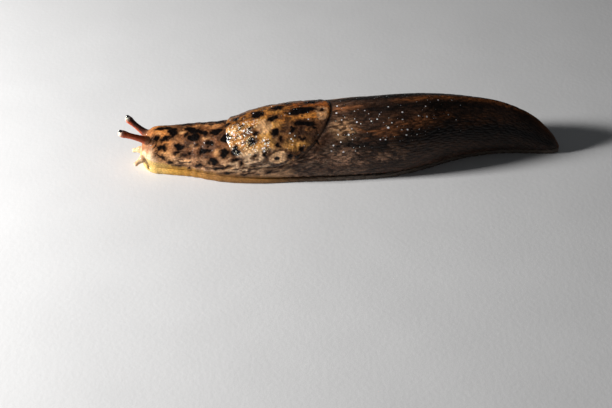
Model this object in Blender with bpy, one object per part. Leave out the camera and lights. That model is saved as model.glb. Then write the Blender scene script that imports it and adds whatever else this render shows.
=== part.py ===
"""A leopard slug, Limax maximus, life size and still, as it crawls with its horns out.

The head points to -X and the slug's left side to -Y.  The sole lies flat on z = 0, and the origin is on
the sole, half way along the body.  The body is one loft along a gently bent path.  Thin cuts part it
into head, neck, three lengths of trunk and a keeled tail, on a sole of three lengths.  The mantle, the
saddle-shaped shield behind the neck, is let into the back, with the breathing hole in its right side.

All sizes are in metres.  A station is a share of the body's length, from 0 at the front of the head to 1
at the tip of the tail.
"""
import math

import bmesh
import bpy
from mathutils import Vector

# Driving dimensions
BODY_LENGTH = 0.1026
BODY_WIDTH = 0.0192
BODY_HEIGHT = 0.0172
GAP = 0.0003

# Profiles along the body: (station, share of the body's width or height)
WIDTH_ALONG = [
    (0.00, 0.49), (0.06, 0.54), (0.14, 0.68), (0.20, 0.77), (0.26, 0.88), (0.35, 0.99), (0.44, 1.00),
    (0.52, 0.98), (0.64, 0.86), (0.77, 0.68), (0.86, 0.53), (0.93, 0.38), (0.975, 0.25), (1.00, 0.08),
]
HEIGHT_ALONG = [
    (0.00, 0.575), (0.05, 0.585), (0.14, 0.635), (0.19, 0.68), (0.22, 0.722), (0.26, 0.787),
    (0.31, 0.834), (0.38, 0.880), (0.45, 0.915), (0.53, 0.965), (0.60, 1.00), (0.65, 0.99),
    (0.71, 0.935), (0.78, 0.855), (0.86, 0.745), (0.91, 0.615), (0.95, 0.445), (0.98, 0.270),
    (1.00, 0.120),
]
SOLE_ALONG = [
    (0.00, 0.44), (0.08, 0.55), (0.14, 0.63), (0.20, 0.75), (0.29, 0.87), (0.44, 0.93), (0.53, 0.89),
    (0.64, 0.70), (0.71, 0.57), (0.78, 0.45), (0.87, 0.34), (0.95, 0.26), (1.00, 0.14),
]
SIDEWAYS_ALONG = [
    (0.00, -0.14), (0.045, -0.09), (0.10, -0.09), (0.20, -0.135), (0.27, -0.11), (0.37, -0.04),
    (0.50, 0.00), (0.58, 0.015), (0.64, 0.07), (0.71, 0.175), (0.77, 0.24), (0.84, 0.275),
    (0.93, 0.245), (1.00, 0.17),
]
WIDEST_ALONG = [(0.00, 0.45), (0.20, 0.40), (0.50, 0.41), (0.78, 0.36), (1.00, 0.32)]
BACK_ROUNDNESS_ALONG = [(0.00, 2.1), (0.30, 2.0), (0.55, 1.95), (0.70, 1.8), (0.85, 1.55), (1.00, 1.35)]

# The round front of the head and of the sole
NOSE_LENGTH = 0.0038
NOSE_HEIGHT = 0.0042
SOLE_NOSE_LENGTH = 0.0034
SOLE_FRONT = 0.0026
SOLE_BACK = 1.0
SOLE_TIP_LENGTH = 0.0022
TIP_STATION = 0.0004

# Sole, and how far its fringe stands out under the flanks
SOLE_THICKNESS = 0.00125
FRINGE_REACH = 0.0007
FRINGE_ROUND = 0.00042
BODY_UNDERSIDE = SOLE_THICKNESS + GAP
LEAST_FLANK = 0.15
LEAST_UNDERSIDE = 0.25
MOST_UNDERSIDE = 0.95
FLANK_CURVE = 2.2

# Where the thin cuts part the body and the sole
BODY_LENGTHS = [
    ("head", TIP_STATION, 0.112), ("neck", 0.112, 0.235), ("trunk_front", 0.235, 0.485),
    ("trunk_mid", 0.485, 0.655), ("trunk_rear", 0.655, 0.82), ("tail", 0.82, 1.0),
]
SOLE_LENGTHS = [
    ("foot_front", SOLE_FRONT, 0.33), ("foot_mid", 0.33, 0.66), ("foot_rear", 0.66, SOLE_BACK),
]
STATION_STEP = 0.0165
NOSE_STEP = 0.0055

# Mantle
MANTLE_FRONT = 0.202
MANTLE_REAR = 0.455
MANTLE_FRONT_SPREAD = math.radians(106)
MANTLE_REAR_SPREAD = math.radians(66)
MANTLE_RAISE = 0.0005
MANTLE_DEPTH = 0.0012
MANTLE_LIP = 0.16
MANTLE_GRID = 22
FRONT_CORNER = 0.75
REAR_CORNER = 1.0
CUTTER_RISE = 0.003
BREATHING_HOLE_STATION = 0.405
BREATHING_HOLE_ANGLE = math.radians(62)
BREATHING_HOLE_RADII = (0.00135, 0.00080, 0.00095)

# Upper tentacles, with an eye at each tip
HORN_ROOT_RADIUS = 0.00102
HORN_MID_RADIUS = 0.00071
HORN_BULB_RADIUS = 0.00090
HORN_SINK = 0.0016
HORN_STATION = 0.014
HORN_ANGLE = math.radians(66)
UPPER_TENTACLES = [
    ("left", -1, (-0.0057, -0.0019, 0.0034), 0.0000), ("right", 1, (-0.0041, 0.0012, 0.0033), -0.0004),
]
EYE_RADIUS = 0.00055
SOCKET_GAP = 0.00025

# Lower tentacles and mouth
FEELER_ROOT_RADIUS = 0.00068
FEELER_TIP_RADIUS = 0.00050
FEELER_SINK = 0.0010
FEELER_STATION = 0.0025
FEELER_ANGLE = math.radians(-40)
LOWER_TENTACLES = [("left", -1, (-0.0021, -0.0012, -0.0013)), ("right", 1, (-0.0023, 0.0012, -0.0011))]
LIP_RADII = (0.0015, 0.0021, 0.00125)
LIP_PLACE = (0.0013, 0.0, 0.0028)
MOUTH_SLIT = (0.0022, 0.00034, 0.0015)

# Colours
TAN = (0.55, 0.30, 0.13)
GOLDEN = (0.52, 0.27, 0.08)
DARK = (0.06, 0.045, 0.035)
MID_BROWN = (0.20, 0.13, 0.09)
RUST = (0.30, 0.12, 0.05)
CREAM = (0.72, 0.55, 0.30)
BLACK = (0.01, 0.01, 0.01)


def clear_scene():
    """Remove the objects of the open scene."""
    for item in list(bpy.data.objects):
        bpy.data.objects.remove(item, do_unlink=True)


def new_collection(name, hidden):
    """A collection linked to the scene."""
    collection = bpy.data.collections.new(name)
    collection.hide_render = hidden
    bpy.context.scene.collection.children.link(collection)
    return collection


def make_material(name, colour, roughness):
    """A plain Principled material."""
    material = bpy.data.materials.new(name)
    material.use_nodes = True
    shader = material.node_tree.nodes["Principled BSDF"]
    shader.inputs["Base Color"].default_value = (*colour, 1.0)
    shader.inputs["Roughness"].default_value = roughness
    shader.inputs["Metallic"].default_value = 0.0
    material.diffuse_color = (*colour, 1.0)
    return material


def profile_at(table, station):
    """Value of a profile at a station, on a smooth curve that never passes its own points."""
    last = len(table) - 1
    station = min(max(station, table[0][0]), table[last][0])
    span = [table[i + 1][0] - table[i][0] for i in range(last)]
    slope = [(table[i + 1][1] - table[i][1]) / span[i] for i in range(last)]
    tangent = [slope[0]]
    for i in range(1, last):
        if slope[i - 1] * slope[i] <= 0:
            tangent.append(0.0)
            continue
        before = 2 * span[i] + span[i - 1]
        after = span[i] + 2 * span[i - 1]
        tangent.append((before + after) / (before / slope[i - 1] + after / slope[i]))
    tangent.append(slope[-1])
    i = 0
    while i < last - 1 and station > table[i + 1][0]:
        i += 1
    t = (station - table[i][0]) / span[i]
    return (
        (1 + 2 * t) * (1 - t) ** 2 * table[i][1]
        + t * (1 - t) ** 2 * span[i] * tangent[i]
        + t * t * (3 - 2 * t) * table[i + 1][1]
        + t * t * (t - 1) * span[i] * tangent[i + 1]
    )


def path_at(station):
    """Point of the body's path on the floor, and the unit vector to the slug's right there."""
    step = 0.002
    sideways = profile_at(SIDEWAYS_ALONG, station) * BODY_WIDTH
    ahead = profile_at(SIDEWAYS_ALONG, min(1.0, station + step)) * BODY_WIDTH
    behind = profile_at(SIDEWAYS_ALONG, max(0.0, station - step)) * BODY_WIDTH
    run = (min(1.0, station + step) - max(0.0, station - step)) * BODY_LENGTH
    right = Vector((-(ahead - behind) / run, 1.0, 0.0)).normalized()
    return Vector(((station - 0.5) * BODY_LENGTH, sideways, 0.0)), right


def rounding(distance, length):
    """Share of the full section that a round end reaches at a distance from its tip."""
    if distance >= length:
        return 1.0
    return math.sqrt(max(0.0, 1.0 - (1.0 - distance / length) ** 2))


def sole_half_width(station):
    """Half width of the sole, with its fringe."""
    front = rounding((station - SOLE_FRONT) * BODY_LENGTH + 0.0003, SOLE_NOSE_LENGTH)
    rear = rounding((SOLE_BACK - station) * BODY_LENGTH + 0.0003, SOLE_TIP_LENGTH)
    return profile_at(SOLE_ALONG, station) * BODY_WIDTH / 2 * front * rear


def section_point(station, angle):
    """Point of a section in its own plane: angle 0 is the widest place on the right, 90 the back.

    Below the widest places, from 0 down to -90 and from 180 up to 270 degrees, the flank curves in
    towards the sole.
    """
    half_width = profile_at(WIDTH_ALONG, station) * BODY_WIDTH / 2
    height = profile_at(HEIGHT_ALONG, station) * BODY_HEIGHT
    lowest = BODY_UNDERSIDE + LEAST_FLANK * (height - BODY_UNDERSIDE)
    widest = max(profile_at(WIDEST_ALONG, station) * height, lowest)
    power = 2.0 / profile_at(BACK_ROUNDNESS_ALONG, station)
    if 0.0 <= angle <= math.pi:
        across = math.copysign(abs(math.cos(angle)) ** power, math.cos(angle)) * half_width
        up = widest + (height - widest) * math.sin(angle)
    else:
        down = -angle if angle < 0 else angle - math.pi
        share = down / (math.pi / 2)
        sole = profile_at(SOLE_ALONG, station) * BODY_WIDTH / 2
        under = min(sole - FRINGE_REACH, half_width * MOST_UNDERSIDE)
        under = max(under, half_width * LEAST_UNDERSIDE)
        across = math.copysign(half_width - (half_width - under) * share ** FLANK_CURVE, math.cos(angle))
        up = widest - (widest - BODY_UNDERSIDE) * math.sin(share * math.pi / 2)
    nose = rounding(station * BODY_LENGTH, NOSE_LENGTH)
    return across * nose, NOSE_HEIGHT + (up - NOSE_HEIGHT) * nose


def body_point(station, angle):
    """The same point in space."""
    base, right = path_at(station)
    across, up = section_point(station, angle)
    return base + right * across + Vector((0.0, 0.0, up))


def body_normal(station, angle):
    """Outward direction of the body's surface."""
    step_along = 0.003
    step_round = 0.03
    along = body_point(station + step_along, angle) - body_point(station - step_along, angle)
    around = body_point(station, angle + step_round) - body_point(station, angle - step_round)
    return around.cross(along).normalized()


def body_ring(station):
    """Closed section of the body, from the underside on the right, over the back, to the left."""
    low_steps = 4
    back_steps = 26
    angles = [-math.pi / 2 * (low_steps - i) / low_steps for i in range(low_steps)]
    angles += [math.pi * i / back_steps for i in range(back_steps + 1)]
    angles += [math.pi + math.pi / 2 * (i + 1) / low_steps for i in range(low_steps)]
    return [body_point(station, angle) for angle in angles]


def sole_ring(station):
    """Closed section of the sole: flat below, with a rounded fringe."""
    half = sole_half_width(station)
    base, right = path_at(station)
    rim = min(FRINGE_ROUND, half * 0.45)
    arc_steps = 3
    side = []
    for i in range(arc_steps + 1):
        turn = -math.pi / 2 + math.pi / 2 * i / arc_steps
        side.append((half - rim + rim * math.cos(turn), rim + rim * math.sin(turn)))
    side.append((half - rim * 0.15, SOLE_THICKNESS * 0.75))
    side.append((half - rim * 0.9, SOLE_THICKNESS))
    outline = side + [(-across, up) for across, up in reversed(side)]
    return [base + right * across + Vector((0.0, 0.0, up)) for across, up in outline]


def stations_between(start, end):
    """Stations for the rings of one length, closer together towards both ends of the body."""
    stations = [start]
    while True:
        from_end = min(stations[-1], 1.0 - stations[-1])
        step = min(STATION_STEP, NOSE_STEP * (0.25 + from_end / 0.03))
        if stations[-1] + step * 1.5 >= end:
            break
        stations.append(stations[-1] + step)
    stations.append(end)
    return stations


def mesh_object(name, shape, collection, material=None):
    """Turn a bmesh into an object, with its faces pointing out and shaded smooth."""
    bmesh.ops.recalc_face_normals(shape, faces=shape.faces)
    mesh = bpy.data.meshes.new(name)
    shape.to_mesh(mesh)
    shape.free()
    item = bpy.data.objects.new(name, mesh)
    collection.objects.link(item)
    if material is not None:
        mesh.materials.append(material)
    mesh.shade_smooth()
    mesh.set_sharp_from_angle(angle=math.radians(50))
    return item


def loft(name, rings, collection, material=None):
    """A closed solid through a row of closed rings that have the same number of points."""
    shape = bmesh.new()
    rows = [[shape.verts.new(point) for point in ring] for ring in rings]
    count = len(rings[0])
    for first, second in zip(rows, rows[1:]):
        for i in range(count):
            j = (i + 1) % count
            shape.faces.new((first[i], first[j], second[j], second[i]))
    shape.faces.new(rows[0])
    shape.faces.new(list(reversed(rows[-1])))
    return mesh_object(name, shape, collection, material)


def cut(item, cutter):
    """Cut one solid out of another and keep the largest closed surface."""
    modifier = item.modifiers.new("cut", "BOOLEAN")
    modifier.operation = "DIFFERENCE"
    modifier.solver = "EXACT"
    modifier.object = cutter
    depsgraph = bpy.context.evaluated_depsgraph_get()
    result = bpy.data.meshes.new_from_object(item.evaluated_get(depsgraph))
    item.modifiers.clear()
    old = item.data
    item.data = result
    result.name = item.name
    bpy.data.meshes.remove(old)
    keep_largest(item)
    item.data.shade_smooth()
    item.data.set_sharp_from_angle(angle=math.radians(50))


def keep_largest(item):
    """Drop loose scraps, so that the mesh is one closed body."""
    shape = bmesh.new()
    shape.from_mesh(item.data)
    bmesh.ops.dissolve_degenerate(shape, edges=shape.edges, dist=0.000002)
    shape.verts.ensure_lookup_table()
    seen = set()
    groups = []
    for start in shape.verts:
        if start in seen:
            continue
        group = []
        stack = [start]
        seen.add(start)
        while stack:
            vertex = stack.pop()
            group.append(vertex)
            for edge in vertex.link_edges:
                other = edge.other_vert(vertex)
                if other not in seen:
                    seen.add(other)
                    stack.append(other)
        groups.append(group)
    groups.sort(key=len, reverse=True)
    for group in groups[1:]:
        bmesh.ops.delete(shape, geom=group, context="VERTS")
    shape.to_mesh(item.data)
    shape.free()


def inflated(item, distance, collection):
    """A copy of a piece, grown by a distance along its normals, to cut a clearance with."""
    shape = bmesh.new()
    shape.from_mesh(item.data)
    shape.normal_update()
    offsets = [vertex.normal * distance for vertex in shape.verts]
    for vertex, offset in zip(shape.verts, offsets):
        vertex.co += offset
    return mesh_object(item.name + "_clearance", shape, collection)


def ellipsoid(name, centre, radii, collection, material=None):
    """A sphere stretched to three radii."""
    shape = bmesh.new()
    bmesh.ops.create_uvsphere(shape, u_segments=20, v_segments=12, radius=1.0)
    for vertex in shape.verts:
        vertex.co = Vector(radii) * vertex.co + centre
    return mesh_object(name, shape, collection, material)


def tapered_tube(name, points, radii, collection, material):
    """A tube of changing radius: a bevelled curve, turned into a mesh with its caps welded."""
    curve = bpy.data.curves.new(name + "_curve", "CURVE")
    curve.dimensions = "3D"
    curve.bevel_depth = 1.0
    curve.bevel_resolution = 4
    curve.use_fill_caps = True
    spline = curve.splines.new("POLY")
    spline.points.add(len(points) - 1)
    for knot, point, radius in zip(spline.points, points, radii):
        knot.co = (*point, 1.0)
        knot.radius = radius
    guide = bpy.data.objects.new(name + "_curve", curve)
    collection.objects.link(guide)
    depsgraph = bpy.context.evaluated_depsgraph_get()
    mesh = bpy.data.meshes.new_from_object(guide.evaluated_get(depsgraph))
    shape = bmesh.new()
    shape.from_mesh(mesh)
    bmesh.ops.remove_doubles(shape, verts=shape.verts, dist=0.00001)
    bpy.data.objects.remove(guide, do_unlink=True)
    bpy.data.meshes.remove(mesh)
    return mesh_object(name, shape, collection, material)


def bow(root, bend, tip, share):
    """Point at a share of the way along a bowed line from root to tip."""
    return root * (1 - share) ** 2 + bend * 2 * share * (1 - share) + tip * share ** 2


def build_body(parts, materials):
    """Head, neck, trunk and tail, parted by thin cuts across the path."""
    half_gap = GAP / 2 / BODY_LENGTH
    pieces = {}
    for name, start, end in BODY_LENGTHS:
        first = start if start == TIP_STATION else start + half_gap
        last = end if end == 1.0 else end - half_gap
        rings = [body_ring(station) for station in stations_between(first, last)]
        pieces[name] = loft(name, rings, parts, materials[name])
    return pieces


def build_sole(parts, materials):
    """Three lengths of sole that lie flat on the floor."""
    half_gap = GAP / 2 / BODY_LENGTH
    for name, start, end in SOLE_LENGTHS:
        first = start if start == SOLE_FRONT else start + half_gap
        last = end if end == SOLE_BACK else end - half_gap
        rings = [sole_ring(station) for station in stations_between(first, last)]
        loft(name, rings, parts, materials[name])


def mantle_place(across, along, margin):
    """Station and angle from the back's midline of a grid point, both from -1 to 1.

    The square grid is rounded at its corners, little at the front and fully at the rear, and the
    margin, in metres, moves its edge out.
    """
    corner = FRONT_CORNER + (REAR_CORNER - FRONT_CORNER) * (along + 1) / 2
    x = along * math.sqrt(1 - corner * across ** 2 / 2)
    y = across * math.sqrt(1 - corner * along ** 2 / 2)
    middle = (MANTLE_FRONT + MANTLE_REAR) / 2
    half_length = (MANTLE_REAR - MANTLE_FRONT) / 2
    spread = MANTLE_FRONT_SPREAD + (MANTLE_REAR_SPREAD - MANTLE_FRONT_SPREAD) * (x + 1) / 2
    spread += margin / (BODY_WIDTH / 2)
    return middle + x * (half_length + margin / BODY_LENGTH), y * spread


def mantle_shell(name, margin, rise, depth, collection, material=None):
    """The shield, as a curved slab whose edge rounds down to the body's surface."""
    steps = MANTLE_GRID
    shape = bmesh.new()
    top = {}
    bottom = {}
    for i in range(steps + 1):
        for j in range(steps + 1):
            along = -1 + 2 * i / steps
            across = -1 + 2 * j / steps
            station, turn = mantle_place(across, along, margin)
            angle = math.pi / 2 - turn
            point = body_point(station, angle)
            normal = body_normal(station, angle)
            edge = 1 - max(abs(along), abs(across))
            top[i, j] = shape.verts.new(point + normal * rise * rounding(edge, MANTLE_LIP))
            bottom[i, j] = shape.verts.new(point - normal * depth)
    for i in range(steps):
        for j in range(steps):
            corners = [(i, j), (i + 1, j), (i + 1, j + 1), (i, j + 1)]
            shape.faces.new([top[k] for k in corners])
            shape.faces.new([bottom[k] for k in reversed(corners)])
    rim = [(i, 0) for i in range(steps)] + [(steps, j) for j in range(steps)]
    rim += [(i, steps) for i in range(steps, 0, -1)] + [(0, j) for j in range(steps, 0, -1)]
    for here, there in zip(rim, rim[1:] + rim[:1]):
        shape.faces.new([top[here], bottom[here], bottom[there], top[there]])
    return mesh_object(name, shape, collection, material)


def build_mantle(parts, cutters, pieces, materials):
    """The mantle let into the back, with the breathing hole in the rear of its right side."""
    mantle = mantle_shell("mantle", 0.0, MANTLE_RAISE, MANTLE_DEPTH, parts, materials["mantle"])
    bed = mantle_shell("mantle_bed", GAP, CUTTER_RISE, MANTLE_DEPTH + GAP, cutters)
    for name in ("neck", "trunk_front"):
        cut(pieces[name], bed)
    angle = math.pi / 2 - BREATHING_HOLE_ANGLE
    centre = body_point(BREATHING_HOLE_STATION, angle)
    centre += body_normal(BREATHING_HOLE_STATION, angle) * MANTLE_RAISE
    hole = ellipsoid("breathing_hole", centre, BREATHING_HOLE_RADII, cutters)
    cut(mantle, hole)


def root_on_head(station, angle, mirror):
    """Point and outward direction on the head, mirrored to the left where mirror is -1."""
    if mirror < 0:
        angle = math.pi - angle
    return body_point(station, angle), body_normal(station, angle)


def build_horn(side, mirror, reach, lift, parts, cutters, clearance, materials):
    """An upper tentacle with a bulb at its tip, and the eye set in it."""
    surface, normal = root_on_head(HORN_STATION, HORN_ANGLE, mirror)
    root = surface - normal * HORN_SINK
    tip = surface + Vector(reach)
    bend = surface + Vector(reach) * 0.45 + Vector((0.0, 0.0, lift))
    steps = 12
    points = [bow(root, bend, tip, i / steps) for i in range(steps + 1)]
    radii = []
    for i in range(steps + 1):
        share = i / steps
        stalk = HORN_ROOT_RADIUS + (HORN_MID_RADIUS - HORN_ROOT_RADIUS) * min(1.0, share / 0.6)
        bulb = math.exp(-(((share - 0.93) / 0.13) ** 2))
        radii.append(stalk + (HORN_BULB_RADIUS - HORN_MID_RADIUS) * bulb)
    heading = (tip - bend).normalized()
    dome_steps = 4
    for i in range(1, dome_steps + 1):
        turn = math.pi / 2 * i / dome_steps
        points.append(tip + heading * HORN_BULB_RADIUS * 0.85 * math.sin(turn))
        radii.append(max(HORN_BULB_RADIUS * math.cos(turn), 0.00018))
    horn = tapered_tube("upper_tentacle_" + side, points, radii, parts, materials["tentacle"])
    cut(horn, clearance)
    eye_place = tip + heading * HORN_BULB_RADIUS * 0.30 + Vector((0.0, 0.0, HORN_BULB_RADIUS * 0.75))
    socket_radius = EYE_RADIUS + SOCKET_GAP
    socket = ellipsoid("socket_" + side, eye_place, (socket_radius,) * 3, cutters)
    cut(horn, socket)
    ellipsoid("eye_" + side, eye_place, (EYE_RADIUS,) * 3, parts, materials["eye"])


def build_feeler(side, mirror, reach, parts, clearance, materials):
    """A lower tentacle, short and blunt."""
    surface, normal = root_on_head(FEELER_STATION, FEELER_ANGLE, mirror)
    root = surface - normal * FEELER_SINK
    tip = surface + Vector(reach)
    bend = (surface + tip) / 2 + normal * FEELER_ROOT_RADIUS
    steps = 6
    points = [bow(root, bend, tip, i / steps) for i in range(steps + 1)]
    taper = (FEELER_TIP_RADIUS - FEELER_ROOT_RADIUS) / steps
    radii = [FEELER_ROOT_RADIUS + taper * i for i in range(steps + 1)]
    heading = (tip - bend).normalized()
    dome_steps = 3
    for i in range(1, dome_steps + 1):
        turn = math.pi / 2 * i / dome_steps
        points.append(tip + heading * FEELER_TIP_RADIUS * 0.8 * math.sin(turn))
        radii.append(max(FEELER_TIP_RADIUS * math.cos(turn), 0.00015))
    feeler = tapered_tube("lower_tentacle_" + side, points, radii, parts, materials["feeler"])
    cut(feeler, clearance)


def build_mouth(parts, cutters, clearance, materials):
    """The lips under the front of the head, with the upright line of the mouth."""
    base = path_at(LIP_PLACE[0] / BODY_LENGTH)[0]
    centre = base + Vector((0.0, 0.0, LIP_PLACE[2]))
    lips = ellipsoid("lips", centre, LIP_RADII, parts, materials["lips"])
    cut(lips, clearance)
    shape = bmesh.new()
    bmesh.ops.create_cube(shape, size=1.0)
    for vertex in shape.verts:
        vertex.co = Vector(MOUTH_SLIT) * vertex.co + centre + Vector((-LIP_RADII[0], 0.0, -0.0002))
    slit = mesh_object("mouth_slit", shape, cutters)
    cut(lips, slit)


def main():
    """Build the slug."""
    clear_scene()
    parts = new_collection("leopard_slug", False)
    cutters = new_collection("cutters", True)
    materials = {
        "head": make_material("head skin", TAN, 0.35),
        "neck": make_material("neck skin", TAN, 0.35),
        "trunk_front": make_material("front flank skin", MID_BROWN, 0.35),
        "trunk_mid": make_material("middle flank skin", MID_BROWN, 0.35),
        "trunk_rear": make_material("rear flank skin", DARK, 0.35),
        "tail": make_material("tail skin", DARK, 0.35),
        "mantle": make_material("mantle skin", GOLDEN, 0.3),
        "foot_front": make_material("front sole", CREAM, 0.4),
        "foot_mid": make_material("middle sole", MID_BROWN, 0.4),
        "foot_rear": make_material("rear sole", DARK, 0.4),
        "tentacle": make_material("upper tentacle skin", RUST, 0.3),
        "feeler": make_material("lower tentacle skin", CREAM, 0.3),
        "lips": make_material("lip skin", CREAM, 0.35),
        "eye": make_material("eye", BLACK, 0.1),
    }
    pieces = build_body(parts, materials)
    build_sole(parts, materials)
    build_mantle(parts, cutters, pieces, materials)
    clearance = inflated(pieces["head"], GAP, cutters)
    for side, mirror, reach, lift in UPPER_TENTACLES:
        build_horn(side, mirror, reach, lift, parts, cutters, clearance, materials)
    for side, mirror, reach in LOWER_TENTACLES:
        build_feeler(side, mirror, reach, parts, clearance, materials)
    build_mouth(parts, cutters, clearance, materials)
    for item in cutters.objects:
        item.hide_render = True
        item.display_type = "WIRE"


main()
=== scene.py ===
"""The leopard slug as it looks: one skin over the whole soft body, two eyes, and the studio.

The skin is one dense surface on the same profiles as the solids, with the mantle, the keel, the fringe,
the tubercles and the breathing hole raised or sunk in it, and the four tentacles fused on.  Its markings,
with painted shade and painted glints among them, are fields in millimetres on the skin, which the skin's
material turns into colour.
"""
import math

import bmesh
import bpy
import numpy as np
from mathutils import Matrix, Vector
from mathutils.kdtree import KDTree


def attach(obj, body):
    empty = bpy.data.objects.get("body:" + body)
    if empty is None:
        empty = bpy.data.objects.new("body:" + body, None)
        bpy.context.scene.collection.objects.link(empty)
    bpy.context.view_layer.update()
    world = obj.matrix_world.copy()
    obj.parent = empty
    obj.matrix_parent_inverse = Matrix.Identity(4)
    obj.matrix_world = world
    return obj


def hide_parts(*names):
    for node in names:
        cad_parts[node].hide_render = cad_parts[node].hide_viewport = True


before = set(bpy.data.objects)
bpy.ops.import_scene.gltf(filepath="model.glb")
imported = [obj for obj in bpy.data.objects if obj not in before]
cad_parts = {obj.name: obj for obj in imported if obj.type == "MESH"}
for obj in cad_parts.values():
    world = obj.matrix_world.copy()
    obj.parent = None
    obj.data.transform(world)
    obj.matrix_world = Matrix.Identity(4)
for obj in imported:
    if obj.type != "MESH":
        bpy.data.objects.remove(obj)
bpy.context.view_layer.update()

# Driving dimensions, in metres, and the profiles of the solids, from station to share of width or height
BODY_LENGTH = 0.1026
BODY_WIDTH = 0.0192
BODY_HEIGHT = 0.0172
MM = 0.001
WIDTH_ALONG = [
    (0.0, 0.49), (0.06, 0.54), (0.14, 0.68), (0.2, 0.77), (0.26, 0.88), (0.35, 0.99), (0.44, 1.0),
    (0.52, 0.98), (0.64, 0.86), (0.77, 0.68), (0.86, 0.53), (0.93, 0.38), (0.975, 0.25), (1.0, 0.08),
]
HEIGHT_ALONG = [
    (0.0, 0.575), (0.05, 0.585), (0.14, 0.635), (0.19, 0.68), (0.22, 0.722), (0.26, 0.787), (0.31, 0.834),
    (0.38, 0.88), (0.45, 0.915), (0.53, 0.965), (0.6, 1.0), (0.65, 0.99), (0.71, 0.935), (0.78, 0.855),
    (0.86, 0.745), (0.91, 0.615), (0.95, 0.445), (0.98, 0.27), (1.0, 0.12),
]
SOLE_ALONG = [
    (0.0, 0.44), (0.08, 0.55), (0.14, 0.63), (0.2, 0.75), (0.29, 0.87), (0.44, 0.93), (0.53, 0.89),
    (0.64, 0.7), (0.71, 0.57), (0.78, 0.45), (0.87, 0.34), (0.95, 0.26), (1.0, 0.14),
]
SIDEWAYS_ALONG = [
    (0.0, -0.14), (0.045, -0.09), (0.1, -0.09), (0.2, -0.135), (0.27, -0.11), (0.37, -0.04), (0.5, 0.0),
    (0.58, 0.015), (0.64, 0.07), (0.71, 0.175), (0.77, 0.24), (0.84, 0.275), (0.93, 0.245), (1.0, 0.17),
]
WIDEST_ALONG = [(0.0, 0.45), (0.2, 0.4), (0.5, 0.41), (0.78, 0.36), (1.0, 0.32)]
BACK_ROUNDNESS_ALONG = [(0.0, 2.1), (0.3, 2.0), (0.55, 1.95), (0.7, 1.8), (0.85, 1.55), (1.0, 1.35)]
NOSE_LENGTH = 0.0038
NOSE_HEIGHT = 0.0042
TIP_LENGTH = 0.0016
TIP_HEIGHT = 0.0012
SOLE_NOSE_LENGTH = 0.0034
SOLE_FRONT = 0.0026
SOLE_THICKNESS = 0.00125
FRINGE_REACH = 0.0007
FRINGE_ROUND = 0.00045
BODY_UNDERSIDE = 0.00155
GROOVE_DEPTH = 0.00016
SOLE_TIP_LENGTH = 0.0022
SOLE_SLACK = 0.0002
SOLE_LEAST = 0.00004
PATH_STEP = 0.03

# Mantle: stations, spread in degrees from the back's midline, and height in metres
MANTLE_FRONT = 0.202
MANTLE_REAR = 0.445
MANTLE_FRONT_SPREAD = 106.0
MANTLE_REAR_SPREAD = 70.0
MANTLE_RAISE = 0.0005

# Relief of the skin, in millimetres: lengths, widths and heights, and places along the body
NOSE_END = 8.0
MANTLE_REGION = (12, 56)
RIDGE_CENTRE = 40.0
RIDGE_STEP = 0.52
RIDGE_HEIGHT = 0.026
TUBERCLE_SIZE = (2.45, 0.66)
TUBERCLE_GIRTH = 26.0
TUBERCLE_HEIGHT = 0.115
PEBBLE_SIZE = (1.05, 0.62)
PEBBLE_HEIGHT = 0.06
KEEL_HEIGHT = 0.2
FOLD_STEP = 2.6
FOLD_HEIGHT = 0.05
PLEAT_STEP = 0.92
# Breathing hole: place along, degrees from the midline, half length and half height
BREATHING_HOLE = (41.5, 62, 1.3, 0.72)
HOLE_DEPTH = 0.85

# Grid of the skin: rings along the body, and steps round half a ring
RINGS = 640
NOSE_RINGS = 46
TIP_RINGS = 16
SOLE_STEPS = 22
FRINGE_STEPS = 14
GROOVE_STEPS = 6
FLANK_STEPS = 40
BACK_STEPS = 118
HALF_STEPS = SOLE_STEPS + FRINGE_STEPS + GROOVE_STEPS + FLANK_STEPS + BACK_STEPS

# Colours of the skin, as plain linear shares of red, green and blue
HEAD_TAN = (0.52, 0.216, 0.07)
HEAD_ORANGE = (0.7, 0.255, 0.058)
HEAD_PINK = (0.56, 0.31, 0.16)
HEAD_PEACH = (0.76, 0.375, 0.145)
NOSE_MAUVE = (0.24, 0.092, 0.036)
NECK_BROWN = (0.17, 0.06, 0.019)
FACE_CREAM = (0.7, 0.52, 0.33)
FEELER_TAN = (0.6, 0.4, 0.22)
MANTLE_GOLD = (0.61, 0.29, 0.072)
MANTLE_ORANGE = (0.42, 0.14, 0.022)
MANTLE_BRONZE = (0.3, 0.106, 0.017)
MANTLE_RUST = (0.32, 0.084, 0.013)
MANTLE_TAN = (0.66, 0.43, 0.255)
MANTLE_PALE = (0.66, 0.385, 0.2)
MANTLE_BROWN = (0.23, 0.092, 0.028)
DARK_BROWN = (0.04, 0.016, 0.0075)
FLANK_PINK = (0.165, 0.098, 0.064)
FLANK_PALE = (0.42, 0.23, 0.14)
FLANK_TAN = (0.56, 0.31, 0.15)
FLANK_BROWN = (0.092, 0.044, 0.026)
RUST = (0.41, 0.145, 0.048)
KEEL_BROWN = (0.52, 0.16, 0.038)
NEAR_BLACK = (0.0105, 0.0062, 0.0048)
FOOT_YELLOW = (0.7, 0.46, 0.15)
FOOT_AMBER = (0.54, 0.29, 0.058)
FOOT_OCHRE = (0.4, 0.192, 0.038)
FOOT_OLIVE = (0.27, 0.128, 0.038)
FOOT_BROWN = (0.095, 0.06, 0.038)
FOOT_GREY = (0.1, 0.078, 0.062)
SOLE_CREAM = (0.66, 0.54, 0.36)
SOLE_GREY = (0.4, 0.33, 0.25)
HORN_RUST = (0.56, 0.092, 0.02)
HORN_ROOT = (0.38, 0.16, 0.075)
HORN_DARK = (0.06, 0.018, 0.011)
HORN_PALE = (0.74, 0.66, 0.56)

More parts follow.
